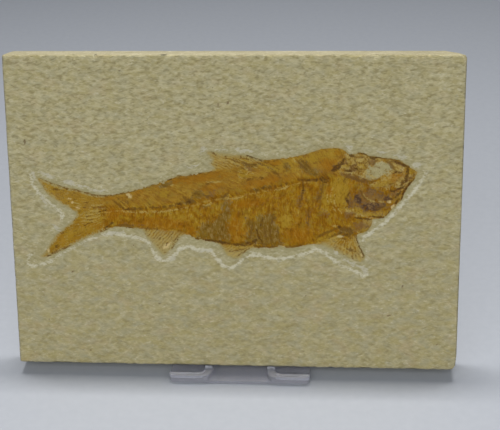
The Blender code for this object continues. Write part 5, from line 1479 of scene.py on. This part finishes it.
def add_floor():
    """A pale board, large enough to fill every view."""
    mesh = bpy.data.meshes.new("floor")
    corners = [(x * FLOOR_HALF, y * FLOOR_HALF, 0) for x, y in ((-1, -1), (1, -1), (1, 1), (-1, 1))]
    mesh.from_pydata(corners, [], [(0, 1, 2, 3)])
    make = Finish("pale_board", 0.8)
    grain = make.between(make.noise(3.0, 4.0), -0.3, 0.3)
    mesh.materials.append(make.finish(make.mix(grain, *FLOOR_SHADES)))
    floor = bpy.data.objects.new("floor", mesh)
    floor.location.z = -FLOOR_GAP * MM
    bpy.context.scene.collection.objects.link(floor)


def add_light(name, place, target, size, spread, power, colour):
    """A soft rectangular light at the place, facing the target; size is its width and depth."""
    data = bpy.data.lights.new(name, "AREA")
    data.shape = "RECTANGLE"
    data.size, data.size_y = size
    data.spread = math.radians(spread)
    data.energy = power
    data.color = colour
    light = bpy.data.objects.new(name, data)
    bpy.context.scene.collection.objects.link(light)
    light.location = place
    light.rotation_euler = (Vector(target) - Vector(place)).to_track_quat("-Z", "Y").to_euler()


def add_lights():
    """A narrow lamp overhead, a broad window in front and the room's faint light."""
    add_light("overhead", place=(0.0, 0.36, 1.2), target=(0.0, -0.2, 0.0), size=(0.6, 0.12), spread=70,
              power=2.3, colour=(1.0, 0.99, 0.98))
    add_light("window", place=(0.0, -1.1, 0.75), target=(0.0, 0.0, 0.05), size=(2.0, 0.9), spread=180,
              power=10.7, colour=(0.96, 0.98, 1.0))
    world = bpy.data.worlds.new("room")
    world.use_nodes = True
    world.node_tree.nodes["Background"].inputs["Color"].default_value = ROOM_LIGHT
    world.node_tree.nodes["Background"].inputs["Strength"].default_value = ROOM_STRENGTH
    bpy.context.scene.world = world


# ---- the stand ----------------------------------------------------------------------------------------
STAND_EDGE = 0.2  # how far its moulded edges are rounded, in millimetres
STAND_CORNER = math.radians(40)  # edges sharper than this are rounded


def finish_stand(stand):
    """Rounds the stand's edges and makes it of clear plastic."""
    bevel = stand.modifiers.new("soft_edges", "BEVEL")
    bevel.width = STAND_EDGE * MM
    bevel.segments = 2
    bevel.limit_method = "ANGLE"
    bevel.angle_limit = STAND_CORNER
    for slot in stand.material_slots:
        slot.material = clear_plastic()


# ---- putting it together ------------------------------------------------------------------------------
slab = build_slab(limestone())
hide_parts("limestone_slab")
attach(slab, "root")

fish = build_fish(fossil())
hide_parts("fossil_fish")
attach(fish, "root")

finish_stand(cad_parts["display_stand"])
add_camera()
add_floor()
add_lights()
bpy.context.scene.view_settings.view_transform = "Standard"
